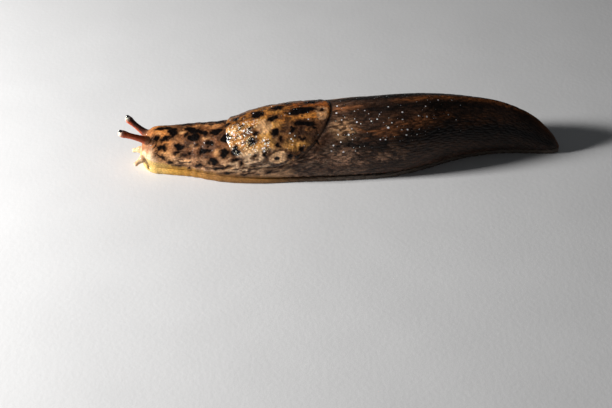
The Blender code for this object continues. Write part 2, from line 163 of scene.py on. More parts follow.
# Colours of the materials
SPOT_HALO = (0.078, 0.029, 0.01, 1)
SPOT_BLACK = (0.0024, 0.0018, 0.0018, 1)
# Painted highlights: the gleam of the mantle's front, and the white glint of each bead of slime
GLEAM_GOLD = (0.9, 0.66, 0.34, 1)
GLEAM_WHITE = (1.0, 0.97, 0.88, 1)
GLINT_WHITE = (0.8, 0.78, 0.78, 1)
EYE_BLACK = (0.004, 0.004, 0.005, 1)
EYE_BROWN = (0.022, 0.014, 0.01, 1)
FLOOR_GREY = (0.635, 0.635, 0.64, 1)
FLOOR_PALE = (0.715, 0.715, 0.72, 1)
SKY = (0.92, 0.96, 1.0, 1)

# Black spots: millimetres from the head's front, degrees from the back's midline (minus is left),
# half length along, half width across, and tilt in degrees
BLACK_SPOTS = [
    (4.7, 5, 0.9, 0.6, 0), (6.4, 5, 1.2, 0.35, -8), (7.8, -12, 0.9, 1.6, 0), (3.7, -31, 0.8, 0.5, 30),
    (6.2, -31, 1.6, 0.38, 12), (4.8, -54, 1.25, 0.66, 0), (9.7, -50, 1.1, 0.62, -6),
    (9.4, -64, 0.9, 0.35, 0), (12.6, -8, 1.9, 0.9, -24), (15.2, -15, 1.6, 0.5, -24),
    (13.2, -28, 1.45, 1.2, 0), (16.2, -57, 1.25, 0.6, 0), (17.3, -41, 0.8, 0.5, 0),
    (18.5, -15, 1.5, 1.05, 15), (15.1, -89, 0.95, 0.3, 0), (18.3, -77, 1.0, 0.62, -15),
    (20.6, -60, 0.85, 0.8, 0), (20.8, -32, 0.95, 0.9, 0), (3.9, -75, 0.7, 0.2, -14),
    (5.0, -82, 0.75, 0.24, -14), (7.1, -97, 0.6, 0.32, 0), (3.1, -48, 0.35, 0.18, 40),
    (3.4, -66, 0.3, 0.15, 0), (2.6, -22, 0.4, 0.16, 50), (12.2, -125, 0.35, 0.4, 0),
    (9.5, -115, 0.8, 0.12, 0), (21.0, -125, 0.8, 0.3, 0), (19.6, -94, 1.8, 0.36, 0),
    (18.8, 20, 1.1, 0.7, 0), (23.0, 10, 0.7, 0.8, 0), (28.3, 4, 1.35, 1.1, -15),
    (31.8, -12, 1.35, 0.75, 14), (33.2, 10, 1.2, 0.75, 0), (38.5, -5, 3.4, 0.95, 8),
    (43.4, -7, 0.5, 0.45, 0), (39.2, -28, 2.7, 0.7, -8), (31.8, -37, 0.65, 0.7, 0),
    (26.6, -46, 0.9, 0.8, 0), (24.6, -18, 0.45, 0.3, 20), (26.4, -24, 0.5, 0.3, 20),
    (27.6, -33, 0.5, 0.3, 20), (22.9, -58, 0.9, 0.8, 0), (23.0, -72, 0.9, 0.3, 0),
    (23.9, -79, 0.26, 0.85, 0), (26.9, -70, 0.4, 0.3, 20), (38.0, -66, 0.8, 0.5, 0),
    (34.8, -73, 0.8, 0.5, 0), (26.8, -88, 0.6, 0.42, 0), (25.0, -125, 1.0, 0.2, 0),
    (30.0, -115, 0.5, 0.4, 0), (36.2, -36, 0.9, 0.55, 10), (38.3, -50, 0.8, 0.34, -10),
    (33.0, -48, 0.45, 0.55, 20), (32.2, -57, 0.55, 0.45, 0), (41.2, -36, 0.7, 0.35, 0),
    (29.4, -68, 0.4, 0.55, 20), (36.6, -76, 0.5, 0.3, 0), (41.8, -58, 0.6, 0.4, -20),
    (20.9, -4, 0.8, 0.6, 0), (11.4, -20, 0.5, 0.3, 30), (14.2, -45, 0.6, 0.3, 15),
    (12.3, -64, 0.55, 0.28, 0), (10.8, -71, 0.8, 0.16, 0),
]
SPOT_GROWTH = 0.06
NO_SPOT = -3.0
# Areas of the right side: from and to along, from and to in degrees, usual size, count, least distance
HIDDEN_AREAS = [
    (5.0, 21.0, 16, 105, 0.8, 15, 2.6), (24.0, 45.0, 18, 85, 1.05, 15, 3.1),
    (7.0, 30.0, 105, 135, 0.4, 7, 3.0),
]
# Pale and dark patches of the head, the mantle and the flank, as the spots, but with strength last
HEAD_PALE = [
    (10.1, -15, 1.0, 0.45, 0.75), (16.4, -30, 1.1, 0.55, 0.45), (18.9, -59, 0.7, 0.95, 0.5),
    (9.5, -72, 1.3, 0.45, 0.7), (13.0, -47, 0.8, 0.45, 0.45), (4.4, -14, 0.8, 0.5, 0.55),
    (21.9, -91, 1.3, 0.55, 0.85), (5.9, -68, 1.4, 0.6, 0.8), (11.8, -82, 1.2, 0.4, 0.5),
]
HEAD_DARK = [
    (17.1, -49, 0.7, 0.8, 0.6), (19.4, -41, 1.0, 0.75, 0.7), (10.5, -26, 1.1, 0.3, 0.7),
    (7.3, -52, 0.6, 0.5, 0.4), (12.2, -63, 0.9, 0.5, 0.5), (12.1, -55, 0.9, 0.45, 0.6),
    (18.2, -72, 1.0, 0.8, 0.55),
]
PALE_PATCHES = [
    (43.3, -7, 1.6, 1.3, 0.42), (43.5, -17, 1.3, 1.2, 0.45), (29.5, -24, 1.6, 1.8, 0.65),
    (36.0, 28, 2.4, 1.5, 0.6), (28.0, 45, 2.2, 1.4, 0.55), (30.0, 70, 2.0, 1.2, 0.6),
]
FLANK_DARKS = [
    (27.4, -98, 1.1, 0.45, 0.9), (25.6, -107, 0.5, 0.75, 0.9), (22.8, -101, 0.7, 0.3, 0.7),
    (27.5, -128, 0.9, 0.25, 0.8), (31.4, -117, 0.9, 0.35, 0.65), (34.6, -100, 1.6, 0.3, 0.7),
    (39.8, -112, 1.2, 0.4, 0.7), (41.4, -93, 1.0, 0.4, 0.7), (36.4, -120, 1.2, 0.25, 0.55),
    (29.6, -106, 0.6, 0.35, 0.6), (32.8, -128, 0.9, 0.18, 0.6), (22.4, -116, 0.6, 0.22, 0.6),
    (37.0, -92, 1.1, 0.35, 0.6), (43.6, -104, 1.2, 0.3, 0.6),
]
FLANK_PALES = [
    (22.4, -81, 1.2, 0.8, 0.85), (25.5, -84, 0.9, 0.75, 0.7), (27.9, -83, 1.0, 0.6, 0.6),
    (27.8, -111, 1.2, 0.4, 0.55), (23.0, -113, 1.3, 0.35, 0.5), (33.2, -110, 1.3, 0.35, 0.35),
]
# The ringed spot low on the mantle's left side
EYE_SPOT = (32.2, -73.5, 2.15, 1.4)
DARK_PATCHES = [
    (38.2, -43, 1.7, 0.6, 0.85), (31.8, -47, 1.4, 0.9, 0.75), (34.5, -35, 1.8, 1.0, 0.6),
    (39.6, -66, 1.8, 0.75, 0.6), (29.8, -62, 1.3, 0.6, 0.85), (42.0, 22, 1.8, 0.8, 0.6),
    (29.2, -78, 0.9, 0.8, 0.8), (35.6, -72, 1.1, 1.0, 0.85), (31.5, -86, 2.2, 0.5, 0.8),
    (33.0, 55, 1.8, 0.8, 0.6),
]

# Beads of slime with painted white glints, after the photo: millimetres from the head's front, degrees from
# the midline, radius
GLINT_BEADS = [
    (49.6, 22, 0.19), (47.2, 0, 0.19), (46.9, -15, 0.22), (48.8, -24, 0.17), (48.0, -28, 0.18),
    (46.6, -29, 0.14), (50.3, -43, 0.2), (49.5, -51, 0.24), (47.0, -49, 0.17), (47.6, -60, 0.21),
    (45.8, -64, 0.2), (45.3, -72, 0.2), (48.2, -75, 0.26), (50.7, -70, 0.15), (51.1, -75, 0.2),
    (51.6, -34, 0.22), (52.5, -37, 0.17), (55.0, -35, 0.2), (54.5, -23, 0.14), (57.0, -26, 0.17),
    (56.4, -33, 0.17), (57.0, -62, 0.17), (58.1, -63, 0.21), (57.6, -60, 0.13), (59.5, -41, 0.19),
    (58.7, -47, 0.27), (61.4, -52, 0.21), (62.6, -53, 0.21), (62.3, -60, 0.17), (61.8, -38, 0.17),
    (62.0, -27, 0.19), (65.4, -36, 0.22), (67.2, -39, 0.22), (65.1, -55, 0.16), (59.3, 15, 0.18),
    (69.7, -29, 0.14), (51.2, -16, 0.15), (59.1, -15, 0.15), (53.6, -17, 0.13), (50.4, -58, 0.15),
    (52.1, -70, 0.13), (35.4, -49, 0.2), (35.8, -52, 0.15), (35.5, -57, 0.16), (36.4, -45, 0.15),
    (29.2, -46, 0.26), (29.4, -51, 0.29), (29.2, -57, 0.25), (29.1, -62, 0.22), (30.1, -45, 0.17),
    (30.0, -54, 0.19), (22.2, -24, 0.31), (21.9, -33, 0.24), (22.7, -29, 0.24), (24.9, -25, 0.24),
    (25.0, -12, 0.2), (26.8, -42, 0.2), (25.8, -31, 0.17), (24.0, -34, 0.17), (23.9, -17, 0.2),
]


def profile_at(table, station):
    """Values of a profile at stations, on a smooth curve that never passes its own points."""
    points = np.array(table, float)
    xs, ys = points[:, 0], points[:, 1]
    span = np.diff(xs)
    slope = np.diff(ys) / span
    tangent = np.zeros_like(ys)
    tangent[0], tangent[-1] = slope[0], slope[-1]
    for i in range(1, len(xs) - 1):
        if slope[i - 1] * slope[i] > 0:
            before = 2 * span[i] + span[i - 1]
            after = span[i] + 2 * span[i - 1]
            tangent[i] = (before + after) / (before / slope[i - 1] + after / slope[i])
    station = np.clip(station, xs[0], xs[-1])
    i = np.clip(np.searchsorted(xs, station, side="right") - 1, 0, len(xs) - 2)
    t = (station - xs[i]) / span[i]
    return (
        (1 + 2 * t) * (1 - t) ** 2 * ys[i]
        + t * (1 - t) ** 2 * span[i] * tangent[i]
        + t * t * (3 - 2 * t) * ys[i + 1]
        + t * t * (t - 1) * span[i] * tangent[i + 1]
    )


def rounding(distance, length, power=2):
    """Share of the full section that a round end reaches at a distance from its tip."""
    return np.sqrt(np.clip(1 - np.clip(1 - distance / length, 0, None) ** power, 0, 1))


def smooth(low, high, value):
    """0 below low, 1 above high, and smooth between."""
    t = np.clip((value - low) / (high - low), 0, 1)
    return t * t * (3 - 2 * t)


def bell(value, centre, width):
    """1 at the centre, fading to nothing over the width."""
    return np.exp(-(((value - centre) / width) ** 2))


def lattice_noise(points, seed):
    """Smooth noise from -1 to 1 at points of any lattice size, one value to each unit cell corner."""
    table = np.random.default_rng(seed).uniform(-1, 1, (64, 64, 64))
    base = np.floor(points).astype(int)
    t = points - base
    t = t * t * (3 - 2 * t)
    total = np.zeros(points.shape[:-1])
    for corner in range(8):
        step = np.array([corner & 1, (corner >> 1) & 1, (corner >> 2) & 1])
        cell = (base + step) % 64
        weight = np.prod(np.where(step == 1, t, 1 - t), axis=-1)
        total += weight * table[cell[..., 0], cell[..., 1], cell[..., 2]]
    return total


def layered_noise(points, seed, layers=3):
    """Noise with finer and weaker layers on top."""
    total = 0.0
    for layer in range(layers):
        total = total + lattice_noise(points * 2 ** layer, seed + layer) / 2 ** layer
    return total


def noise_over(along, around, size, shift, seed, layers=2):
    """Noise on the skin, of one size along it and another round it."""
    points = np.stack([along / size[0], around / size[1], np.full(around.shape, shift)], -1)
    return layered_noise(points, seed, layers)


def layered(colour, *coats):
    """A colour with coats over it, each a colour or a field of colours and the share that it covers."""
    colour = np.array(colour)
    for other, share in coats:
        colour = colour + (np.array(other) - colour) * np.clip(share, 0, 1)[..., None]
    return colour


def cells(x, y, seed, jitter=0.8):
    """Irregular cells of unit size: (how far inside its cell a point is, the cell's own random tone)."""
    size = 256
    rng = np.random.default_rng(seed)
    offset_x = rng.uniform(-0.5, 0.5, (size, size)) * jitter
    offset_y = rng.uniform(-0.5, 0.5, (size, size)) * jitter
    tones = rng.uniform(0, 1, (size, size))
    cx, cy = np.floor(x).astype(int), np.floor(y).astype(int)
    nearest = np.full(x.shape, 9.0)
    second = np.full(x.shape, 9.0)
    tone = np.zeros(x.shape)
    for dx in (-1, 0, 1):
        for dy in (-1, 0, 1):
            ix, iy = cx + dx, cy + dy
            stagger = 0.5 * (iy % 2)
            px = ix + 0.5 + offset_x[ix % size, iy % size] + stagger - 0.25
            py = iy + 0.5 + offset_y[ix % size, iy % size]
            distance = np.hypot(x - px, y - py)
            closer = distance < nearest
            second = np.where(closer, nearest, np.minimum(second, distance))
            tone = np.where(closer, tones[ix % size, iy % size], tone)
            nearest = np.where(closer, distance, nearest)
    return second - nearest, tone


class Body:
    """The smooth body on a grid: rings along it, and in each ring points from the sole, up the right
    side, over the back and down the left side."""

    def __init__(self):
        self.station = self.ring_stations()
        self.lay_out_ring()
        s = self.station[:, None]
        self.shape_sections(s)
        self.place_sections(s)
        self.measure()

    def ring_stations(self):
        """Stations of the rings, closer together where the head and the tail's tip round off."""
        nose = NOSE_LENGTH / BODY_LENGTH
        tip = TIP_LENGTH / BODY_LENGTH
        turn_front = np.linspace(0.035, math.pi / 2, NOSE_RINGS)
        turn_back = np.linspace(0.05, math.pi / 2, TIP_RINGS)
        front = nose * (1 - np.cos(turn_front))
        back = 1 - tip * (1 - np.cos(turn_back[::-1]))
        middle = np.linspace(nose, 1 - tip, RINGS - len(front) - len(back) + 2)[1:-1]
        return np.concatenate([front, middle, back])

    def lay_out_ring(self):
        """Zone and share of the way through it for each point of a ring."""
        counts = [("sole", SOLE_STEPS), ("fringe", FRINGE_STEPS), ("groove", GROOVE_STEPS),
                  ("flank", FLANK_STEPS), ("back", BACK_STEPS)]
        zones, shares = [], []
        for zone, steps in counts:
            for i in range(steps):
                zones.append(zone)
                shares.append(i / steps)
        zones.append("back")
        shares.append(1.0)
        self.mirrored = list(range(HALF_STEPS + 1)) + list(range(HALF_STEPS - 1, 0, -1))
        self.zone = np.array(zones)[self.mirrored]
        self.share = np.array(shares)[self.mirrored]
        self.side = np.array([1] * (HALF_STEPS + 1) + [-1] * (HALF_STEPS - 1))
        self.count = len(self.side)

    def shape_sections(self, s):
        """Distance across and height of each point in its ring's own plane."""
        half_width = profile_at(WIDTH_ALONG, s) * BODY_WIDTH / 2
        height = profile_at(HEIGHT_ALONG, s) * BODY_HEIGHT
        lowest = BODY_UNDERSIDE + 0.15 * (height - BODY_UNDERSIDE)
        widest = np.maximum(profile_at(WIDEST_ALONG, s) * height, lowest)
        power = 2.0 / profile_at(BACK_ROUNDNESS_ALONG, s)
        sole_full = profile_at(SOLE_ALONG, s) * BODY_WIDTH / 2
        sole_front = rounding((s - SOLE_FRONT) * BODY_LENGTH + SOLE_SLACK, SOLE_NOSE_LENGTH)
        sole_rear = rounding((1 - s) * BODY_LENGTH + SOLE_SLACK, SOLE_TIP_LENGTH)
        sole = np.maximum(sole_full * sole_front * sole_rear, SOLE_LEAST)
        rim = np.minimum(FRINGE_ROUND, sole * 0.45)
        under = np.clip(sole_full - FRINGE_REACH, half_width * 0.25, half_width * 0.95)
        nose = rounding(s * BODY_LENGTH, NOSE_LENGTH * 1.37, 3)
        tip = rounding((1 - s) * BODY_LENGTH, TIP_LENGTH)
        narrowed, lowered = 0.15 + 0.85 * tip, 0.25 + 0.75 * tip
        t = self.share[None, :]
        quarter = math.pi / 2
        bulge = 1.15 + 1.05 * smooth(0.16, 0.36, s)
        front_drop = smooth(0.0, 0.012, s)
        thickness = SOLE_THICKNESS * (0.55 + 0.45 * front_drop)
        across_parts = {
            "sole": (sole - rim) * t,
            "fringe": sole - rim + rim * np.cos(-quarter + math.pi * t),
            "flank": half_width - (half_width - under) * (1 - t) ** bulge,
            "back": half_width * np.abs(np.cos(quarter * t)) ** power,
        }
        up_parts = {
            "sole": 0.0,
            "fringe": thickness / 2 * (1 + np.sin(-quarter + math.pi * t)),
            "flank": widest - (widest - BODY_UNDERSIDE) * np.sin((1 - t) * quarter),
            "back": widest + (height - widest) * np.sin(quarter * t),
        }
        for name in ("flank", "back"):
            end = NOSE_HEIGHT + (up_parts[name] - NOSE_HEIGHT) * nose
            up_parts[name] = TIP_HEIGHT + (end - TIP_HEIGHT) * lowered
            across_parts[name] = across_parts[name] * nose * narrowed
        end = NOSE_HEIGHT + (BODY_UNDERSIDE - NOSE_HEIGHT) * nose
        flank_low = TIP_HEIGHT + (end - TIP_HEIGHT) * lowered
        pinch = GROOVE_DEPTH * np.sin(math.pi * t) * smooth(0.18, 0.38, s)
        across_parts["groove"] = (sole - rim) * (1 - t) + under * nose * narrowed * t - pinch
        up_parts["groove"] = thickness * (1 - t) + flank_low * t
        across = np.zeros((len(s), self.count))
        up = np.zeros((len(s), self.count))
        for name in across_parts:
            chosen = self.zone == name
            across[:, chosen] = np.broadcast_to(across_parts[name], across.shape)[:, chosen]
            up[:, chosen] = np.broadcast_to(up_parts[name], up.shape)[:, chosen]
        self.across = np.maximum(across, 0) * self.side[None, :]
        self.up = up

    def place_sections(self, s):
        """Set the sections square to the body's bent path."""
        sideways = profile_at(SIDEWAYS_ALONG, s) * BODY_WIDTH
        low, high = np.maximum(0, s - PATH_STEP), np.minimum(1, s + PATH_STEP)
        rise = (profile_at(SIDEWAYS_ALONG, high) - profile_at(SIDEWAYS_ALONG, low)) * BODY_WIDTH
        lean = rise / ((high - low) * BODY_LENGTH)
        length = np.sqrt(1 + lean ** 2)
        x = (s - 0.5) * BODY_LENGTH - lean / length * self.across
        y = sideways + self.across / length
        self.point = np.stack([x, y, self.up], -1)

    def measure(self):
        """Outward normals, and each point's place along and round the skin, in millimetres."""
        around = np.roll(self.point, -1, 1) - np.roll(self.point, 1, 1)
        along = np.gradient(self.point, axis=0)
        normal = np.cross(around, along)
        self.normal = normal / np.maximum(np.linalg.norm(normal, axis=-1, keepdims=True), 1e-12)
        pieces = np.linalg.norm(np.diff(self.point[:, : HALF_STEPS + 1], axis=1), axis=-1) / MM
        from_back = np.zeros((len(self.station), HALF_STEPS + 1))
        from_back[:, :-1] = np.cumsum(pieces[:, ::-1], axis=1)[:, ::-1]
        self.from_back = from_back[:, self.mirrored]
        self.girth = self.from_back[:, :1]
        self.v = self.from_back * self.side[None, :]
        middle_line = self.point[:, HALF_STEPS]
        pieces = np.linalg.norm(np.diff(middle_line, axis=0), axis=1) / MM
        run = np.concatenate([[0], np.cumsum(pieces)])
        along = self.station * BODY_LENGTH / MM
        flow = np.where(along < NOSE_END, run - np.interp(NOSE_END, along, run) + NOSE_END, along)
        self.u = np.broadcast_to(along[:, None], self.v.shape)
        self.run = np.broadcast_to(run[:, None], self.v.shape)
        self.flow = np.broadcast_to(flow[:, None], self.v.shape)
        flank_share = np.where(self.zone == "flank", 90 + 90 * (1 - self.share), 180.0)
        turn = np.where(self.zone == "back", 90 * (1 - self.share), flank_share)
        self.turn = np.broadcast_to((turn * self.side)[None, :], self.v.shape)

    def place_of(self, u, turn):
        """Millimetres round from the back's midline of a place given by its angle in degrees."""
        i = int(np.argmin(np.abs(self.u[:, 0] - u)))
        half = slice(HALF_STEPS, SOLE_STEPS + FRINGE_STEPS, -1)
        size = np.interp(abs(turn), self.turn[i, half], self.from_back[i, half])
        return math.copysign(size, turn)

    def apart(self, u, turn, half_along, half_across):
        """How far the skin is from a place, where 1 is the edge of an oval of those half sizes."""
        return np.hypot((self.u - u) / half_along, (self.v - self.place_of(u, turn)) / half_across)

    def zones(self, *names):
        """1 where the skin belongs to one of the zones, and 0 elsewhere."""
        return np.isin(self.zone, names)[None, :] * np.ones(self.u.shape)


def shield_depth(body):
    """How far inside the mantle's edge each point of the skin is, in millimetres."""
    t = np.linspace(0, 2 * math.pi, 361)[:-1]
    middle = (MANTLE_FRONT + MANTLE_REAR) / 2
    half = (MANTLE_REAR - MANTLE_FRONT) / 2
    x, y = np.cos(t), np.sin(t)
    x = np.sign(x) * np.abs(x) ** np.where(x < 0, 0.8, 1.0)
    y = np.sign(y) * np.abs(y) ** np.where(x < 0, 0.88, 1.0)
    spread = MANTLE_FRONT_SPREAD + (MANTLE_REAR_SPREAD - MANTLE_FRONT_SPREAD) * (x + 1) / 2
    u_edge = (middle + x * half) * BODY_LENGTH / MM
    v_edge = np.array([body.place_of(a, b) for a, b in zip(u_edge, y * spread)])
    centre = middle * BODY_LENGTH / MM
    depth = np.full(body.u.shape, -9.0)
    near = (body.u[:, 0] > MANTLE_REGION[0]) & (body.u[:, 0] < MANTLE_REGION[1])
    u, v = body.u[near], body.v[near]
    nearest = np.full(u.shape, 99.0)
    for a, b in zip(u_edge, v_edge):
        nearest = np.minimum(nearest, np.hypot(u - a, v - b))
    edge_turn = np.arctan2(v_edge, u_edge - centre)
    order = np.argsort(edge_turn)
    edge_radius = np.hypot(u_edge - centre, v_edge)
    radius = np.interp(np.arctan2(v, u - centre), edge_turn[order], edge_radius[order], period=2 * math.pi)
    inside = np.hypot(u - centre, v) < radius
    depth[near] = np.where(inside, nearest, -nearest)
    return depth


class Skin:
    """Heights and colours over the grid of the body."""

    def __init__(self, body):
        self.body = body
        self.side = np.abs(body.turn)
        self.shield = shield_depth(body)
        self.on_body = body.zones("flank", "back")
        self.height = self.raise_relief()
        self.blotch = self.spots()
        self.lay_noise()
        self.colour = self.colours()
        self.wet_and_glints = self.wetness()

    def raise_relief(self):
        """Height of the skin over the smooth body, in millimetres; keeps the fields that colours need."""
        body, side, shield = self.body, self.side, self.shield
        u, v, flow = body.u, body.v, body.flow
        rear = smooth(0.2, -0.9, shield) * smooth(24, 34, u)
        front = smooth(-0.2, -1.2, shield) * smooth(34, 26, u)
        wander = noise_over(flow, v, (7, 5), 3.7, 3)

        # Long tubercles of the trunk and tail, in rows that draw together towards the tip
        girth = np.maximum(body.girth, 3.0)
        rows = v * (TUBERCLE_GIRTH / girth) ** 0.75 / TUBERCLE_SIZE[1] + wander * 0.35
        gap, tone = cells(u / TUBERCLE_SIZE[0] + wander * 0.25 + 40, rows + 80, 11)
        self.tubercle = smooth(0.02, 0.5, gap) * rear
        tubercles = TUBERCLE_HEIGHT * self.tubercle * smooth(27, 37, u)
        tubercles = tubercles * (0.55 + 0.45 * smooth(30, 50, side))

        # Short cells of the head and neck
        columns = flow / PEBBLE_SIZE[0] + wander * 0.3 + 40
        gap_small, tone_small = cells(columns, v / PEBBLE_SIZE[1] + wander * 0.3 + 80, 12)
        self.pebble = smooth(0.02, 0.55, gap_small) * front
        pebbles = PEBBLE_HEIGHT * self.pebble * smooth(0.3, 3.5, u) * smooth(128, 106, side)
        self.tone = np.where(rear > 0.5, tone, tone_small)

        # Fine ridges on the mantle, ringed round its own centre, and its raised edge with a groove round it
        inside = smooth(0.0, 0.5, shield)
        swirl = np.hypot((u - RIDGE_CENTRE) * 0.85, v * 0.95) + 0.55 * wander
        broken = noise_over(u, v, (0.62, 0.62), 8.1, 5)
        ridge = 0.5 + 0.5 * np.cos(2 * math.pi * swirl / RIDGE_STEP)
        self.ridge = ridge * inside * smooth(-0.7, 0.3, broken)
        mantle = inside * (RIDGE_HEIGHT * self.ridge + 0.075 * broken)
        raised = MANTLE_RAISE / MM * (1 - 0.6 * smooth(35, 43, u) - 0.38 * smooth(29, 22, u))
        mantle += raised * rounding(np.clip(shield, 0, None), 0.95) * (shield > 0)
        mantle += 0.1 * inside * noise_over(u, v, (3.1, 2.6), 1.1, 6)
        mantle -= 0.14 * bell(shield, -0.18, 0.26) * (1 - 0.7 * smooth(35, 43, u) - 0.6 * smooth(29, 22, u))

        # Keel along the tail's back, and wrinkles across the neck, where it bends and draws in
        keel = KEEL_HEIGHT * smooth(60, 74, u) * smooth(102, 96, u) * bell(v, 0.0, 0.42)
        folds = FOLD_HEIGHT * np.sin(2 * math.pi * (u / FOLD_STEP + 0.35 * wander)) * front * bell(u, 15, 7)
        sag = 0.1 * layered_noise(body.point / MM / 6.0, 9, 2) * self.on_body

        # Breathing hole, low on the right side of the mantle, with a raised rim
        self.hole = body.apart(*BREATHING_HOLE)
        breath = 0.13 * bell(self.hole, 1.25, 0.3) - HOLE_DEPTH * smooth(1.0, 0.35, self.hole)

        # Fringe of the foot, with fine grooves across it, and wrinkles at the groove above it
        slots = 0.5 + 0.5 * np.cos(2 * math.pi * (u / PLEAT_STEP + 0.25 * wander))
        pleats = 0.05 * smooth(118, 165, side) * self.on_body * (slots - 0.5)
        pleats = (pleats - 0.014 * body.zones("fringe") * (1 - slots ** 0.5)) * smooth(24, 40, u)

        height = tubercles + pebbles + mantle + keel + folds + sag + breath + pleats
        ends = smooth(0.0, 1.2, u) * smooth(102.4, 100.6, u)
        return height * (1 - body.zones("sole")) * (0.25 + 0.75 * ends)

    def wetness(self):
        """How much wetness and fine beading with painted glints the skin has: most on the mantle's front,
        little on the head.
        """
        body, side = self.body, self.side
        u = body.u
        film = noise_over(u, body.v, (1.6, 1.3), 2.9, 61)
        front = smooth(-0.3, 0.2, self.shield) * smooth(30.0, 25.5, u + 2.0 * film)
        inner = np.where(body.turn < 0, smooth(2, 14, side), smooth(38, 50, side))
        front = front * smooth(72, 58, side) * inner
        # A cluster of painted gleam low on the mantle's side
        gleam = np.hypot(u - 29.5, (side - 53) / 14)
        front = np.maximum(front, smooth(1.2, 0.6, gleam + 0.2 * film))
        glint_beads = smooth(45, 47, u) * smooth(98, 62, u) * smooth(82, 66, side) * smooth(-0.12, 0.02, film)
        mantle = smooth(0.0, 0.6, self.shield) * smooth(0.02, 0.14, film) * smooth(76, 58, side)
        self.glint_beads = np.maximum(glint_beads, mantle)
        # Painted white glints, one on each bead of slime in the list
        self.glint_drops = np.zeros(u.shape)
        for centre_u, turn, radius in GLINT_BEADS:
            away = body.apart(centre_u, turn, radius, radius)
            bright = min(1.0, 0.45 + 2.2 * radius)
            self.glint_drops = np.maximum(self.glint_drops, smooth(1.3, 0.4, away + 0.25 * film) * bright)
        return np.clip(0.12 + 0.88 * front + 0.2 * smooth(0.0, 0.5, self.shield), 0, 1)

    def spots(self):
        """Signed distance, in millimetres, into the nearest black spot of the skin."""
        u, v, flow = self.body.u, self.body.v, self.body.flow
        u_bent = u + 0.42 * noise_over(flow, v, (0.85, 0.85), 2.2, 21)
        v_bent = v + 0.42 * noise_over(flow, v, (0.85, 0.85), 2.2, 31)
        deepest = np.full(u.shape, NO_SPOT)
        for centre_u, turn, half_along, half_across, tilt in BLACK_SPOTS + self.hidden_spots():
            rings = np.abs(u[:, 0] - centre_u) < max(half_along, half_across) + 1.5
            du = u_bent[rings] - centre_u
            dv = v_bent[rings] - self.body.place_of(centre_u, turn)
            lean = math.radians(tilt)
            along = du * math.cos(lean) + dv * math.sin(lean)
            across = dv * math.cos(lean) - du * math.sin(lean)
            level = np.hypot(along / (half_along + SPOT_GROWTH), across / (half_across + SPOT_GROWTH))
            depth = (1 - level) * min(half_along, half_across) * (0.6 + 0.4 * np.minimum(level, 2))
            deepest[rings] = np.maximum(deepest[rings], depth)
        return deepest

    def hidden_spots(self):
        """Spots on the right side, which the photo doesn't show, scattered like those on the left."""
        rng = np.random.default_rng(7)
        found = []
        for u_low, u_high, turn_low, turn_high, size, wanted, gap in HIDDEN_AREAS:
            placed = []
            for _ in range(wanted * 40):
                if len(placed) == wanted:
                    break
                u = rng.uniform(u_low, u_high)
                turn = rng.uniform(turn_low, turn_high)
                v = self.body.place_of(u, turn)
                if all(math.hypot(u - a, v - b) > gap for a, b in placed):
                    placed.append((u, v))
                    along = size * rng.uniform(0.6, 1.5)
                    across = size * rng.uniform(0.45, 0.85)
                    found.append((u, turn, along, across, rng.uniform(-25, 25)))
        return found

    def patches(self, places, solid, ragged):
        """Share of the skin that the listed patches cover, solid in the middle and ragged at the edge."""
        bare = 1.0
        for u, turn, half_along, half_across, strength in places:
            level = self.body.apart(u, turn, half_along, half_across) + ragged * self.cloud
            bare = bare * (1 - smooth(1.25, solid, level) * strength)
        return 1 - bare

    def lay_noise(self):
        """Noise that the colours share: broad clouds, patches, dashes, fibres and fine grain."""
        flow, v = self.body.flow, self.body.v
        self.cloud = noise_over(flow, v, (2.4, 2.0), 5.5, 41, 3)
        self.patch = noise_over(flow, v, (3.0, 1.15), 7.5, 45, 3)
        self.dash = noise_over(flow, v, (1.25, 0.52), 9.5, 47)
        self.fibre = noise_over(flow, v, (2.4, 0.3), 4.5, 49)
        self.fine = noise_over(flow, v, (0.5, 0.4), 6.5, 51)

    def colours(self):
        """Colour of the skin without its black spots."""
        body, side, shield = self.body, self.side, self.shield
        u = body.u
        cloud, dash, fine = self.cloud, self.dash, self.fine

        # Rim of the foot, from yellow in front to grey
        rim = layered(
            FOOT_YELLOW,
            (FOOT_AMBER, smooth(2.5, 8, u)),
            (FOOT_OCHRE, smooth(7, 13, u)),
            (FOOT_OLIVE, smooth(11, 20, u)),
            (FOOT_BROWN, smooth(27, 41, u)),
            (FOOT_GREY, smooth(40, 52, u)),
        )
        rim = rim * (0.97 + 0.03 * fine + 0.1 * cloud)[..., None]
        low = smooth(102, 124, side + 1.3 * (9 - u)) * smooth(44, 30, u)
        low = low * smooth(-0.5, 2.5, u + 0.02 * (side - 90))

        # Head, then the trunk behind it, then the mantle over both, with painted shade in the groove at its
        # rear, along its lower edge and where the trunk tucks under it
        trunk = smooth(25, 33, u + 2.5 * cloud) * smooth(0.2, -0.2, shield)
        trunk = trunk * smooth(28, 36, u - 0.05 * (side - 60) + 2.0 * cloud)
        streak = bell(side, 110, 18) * smooth(22, 28, u) * smooth(58, 46, u)
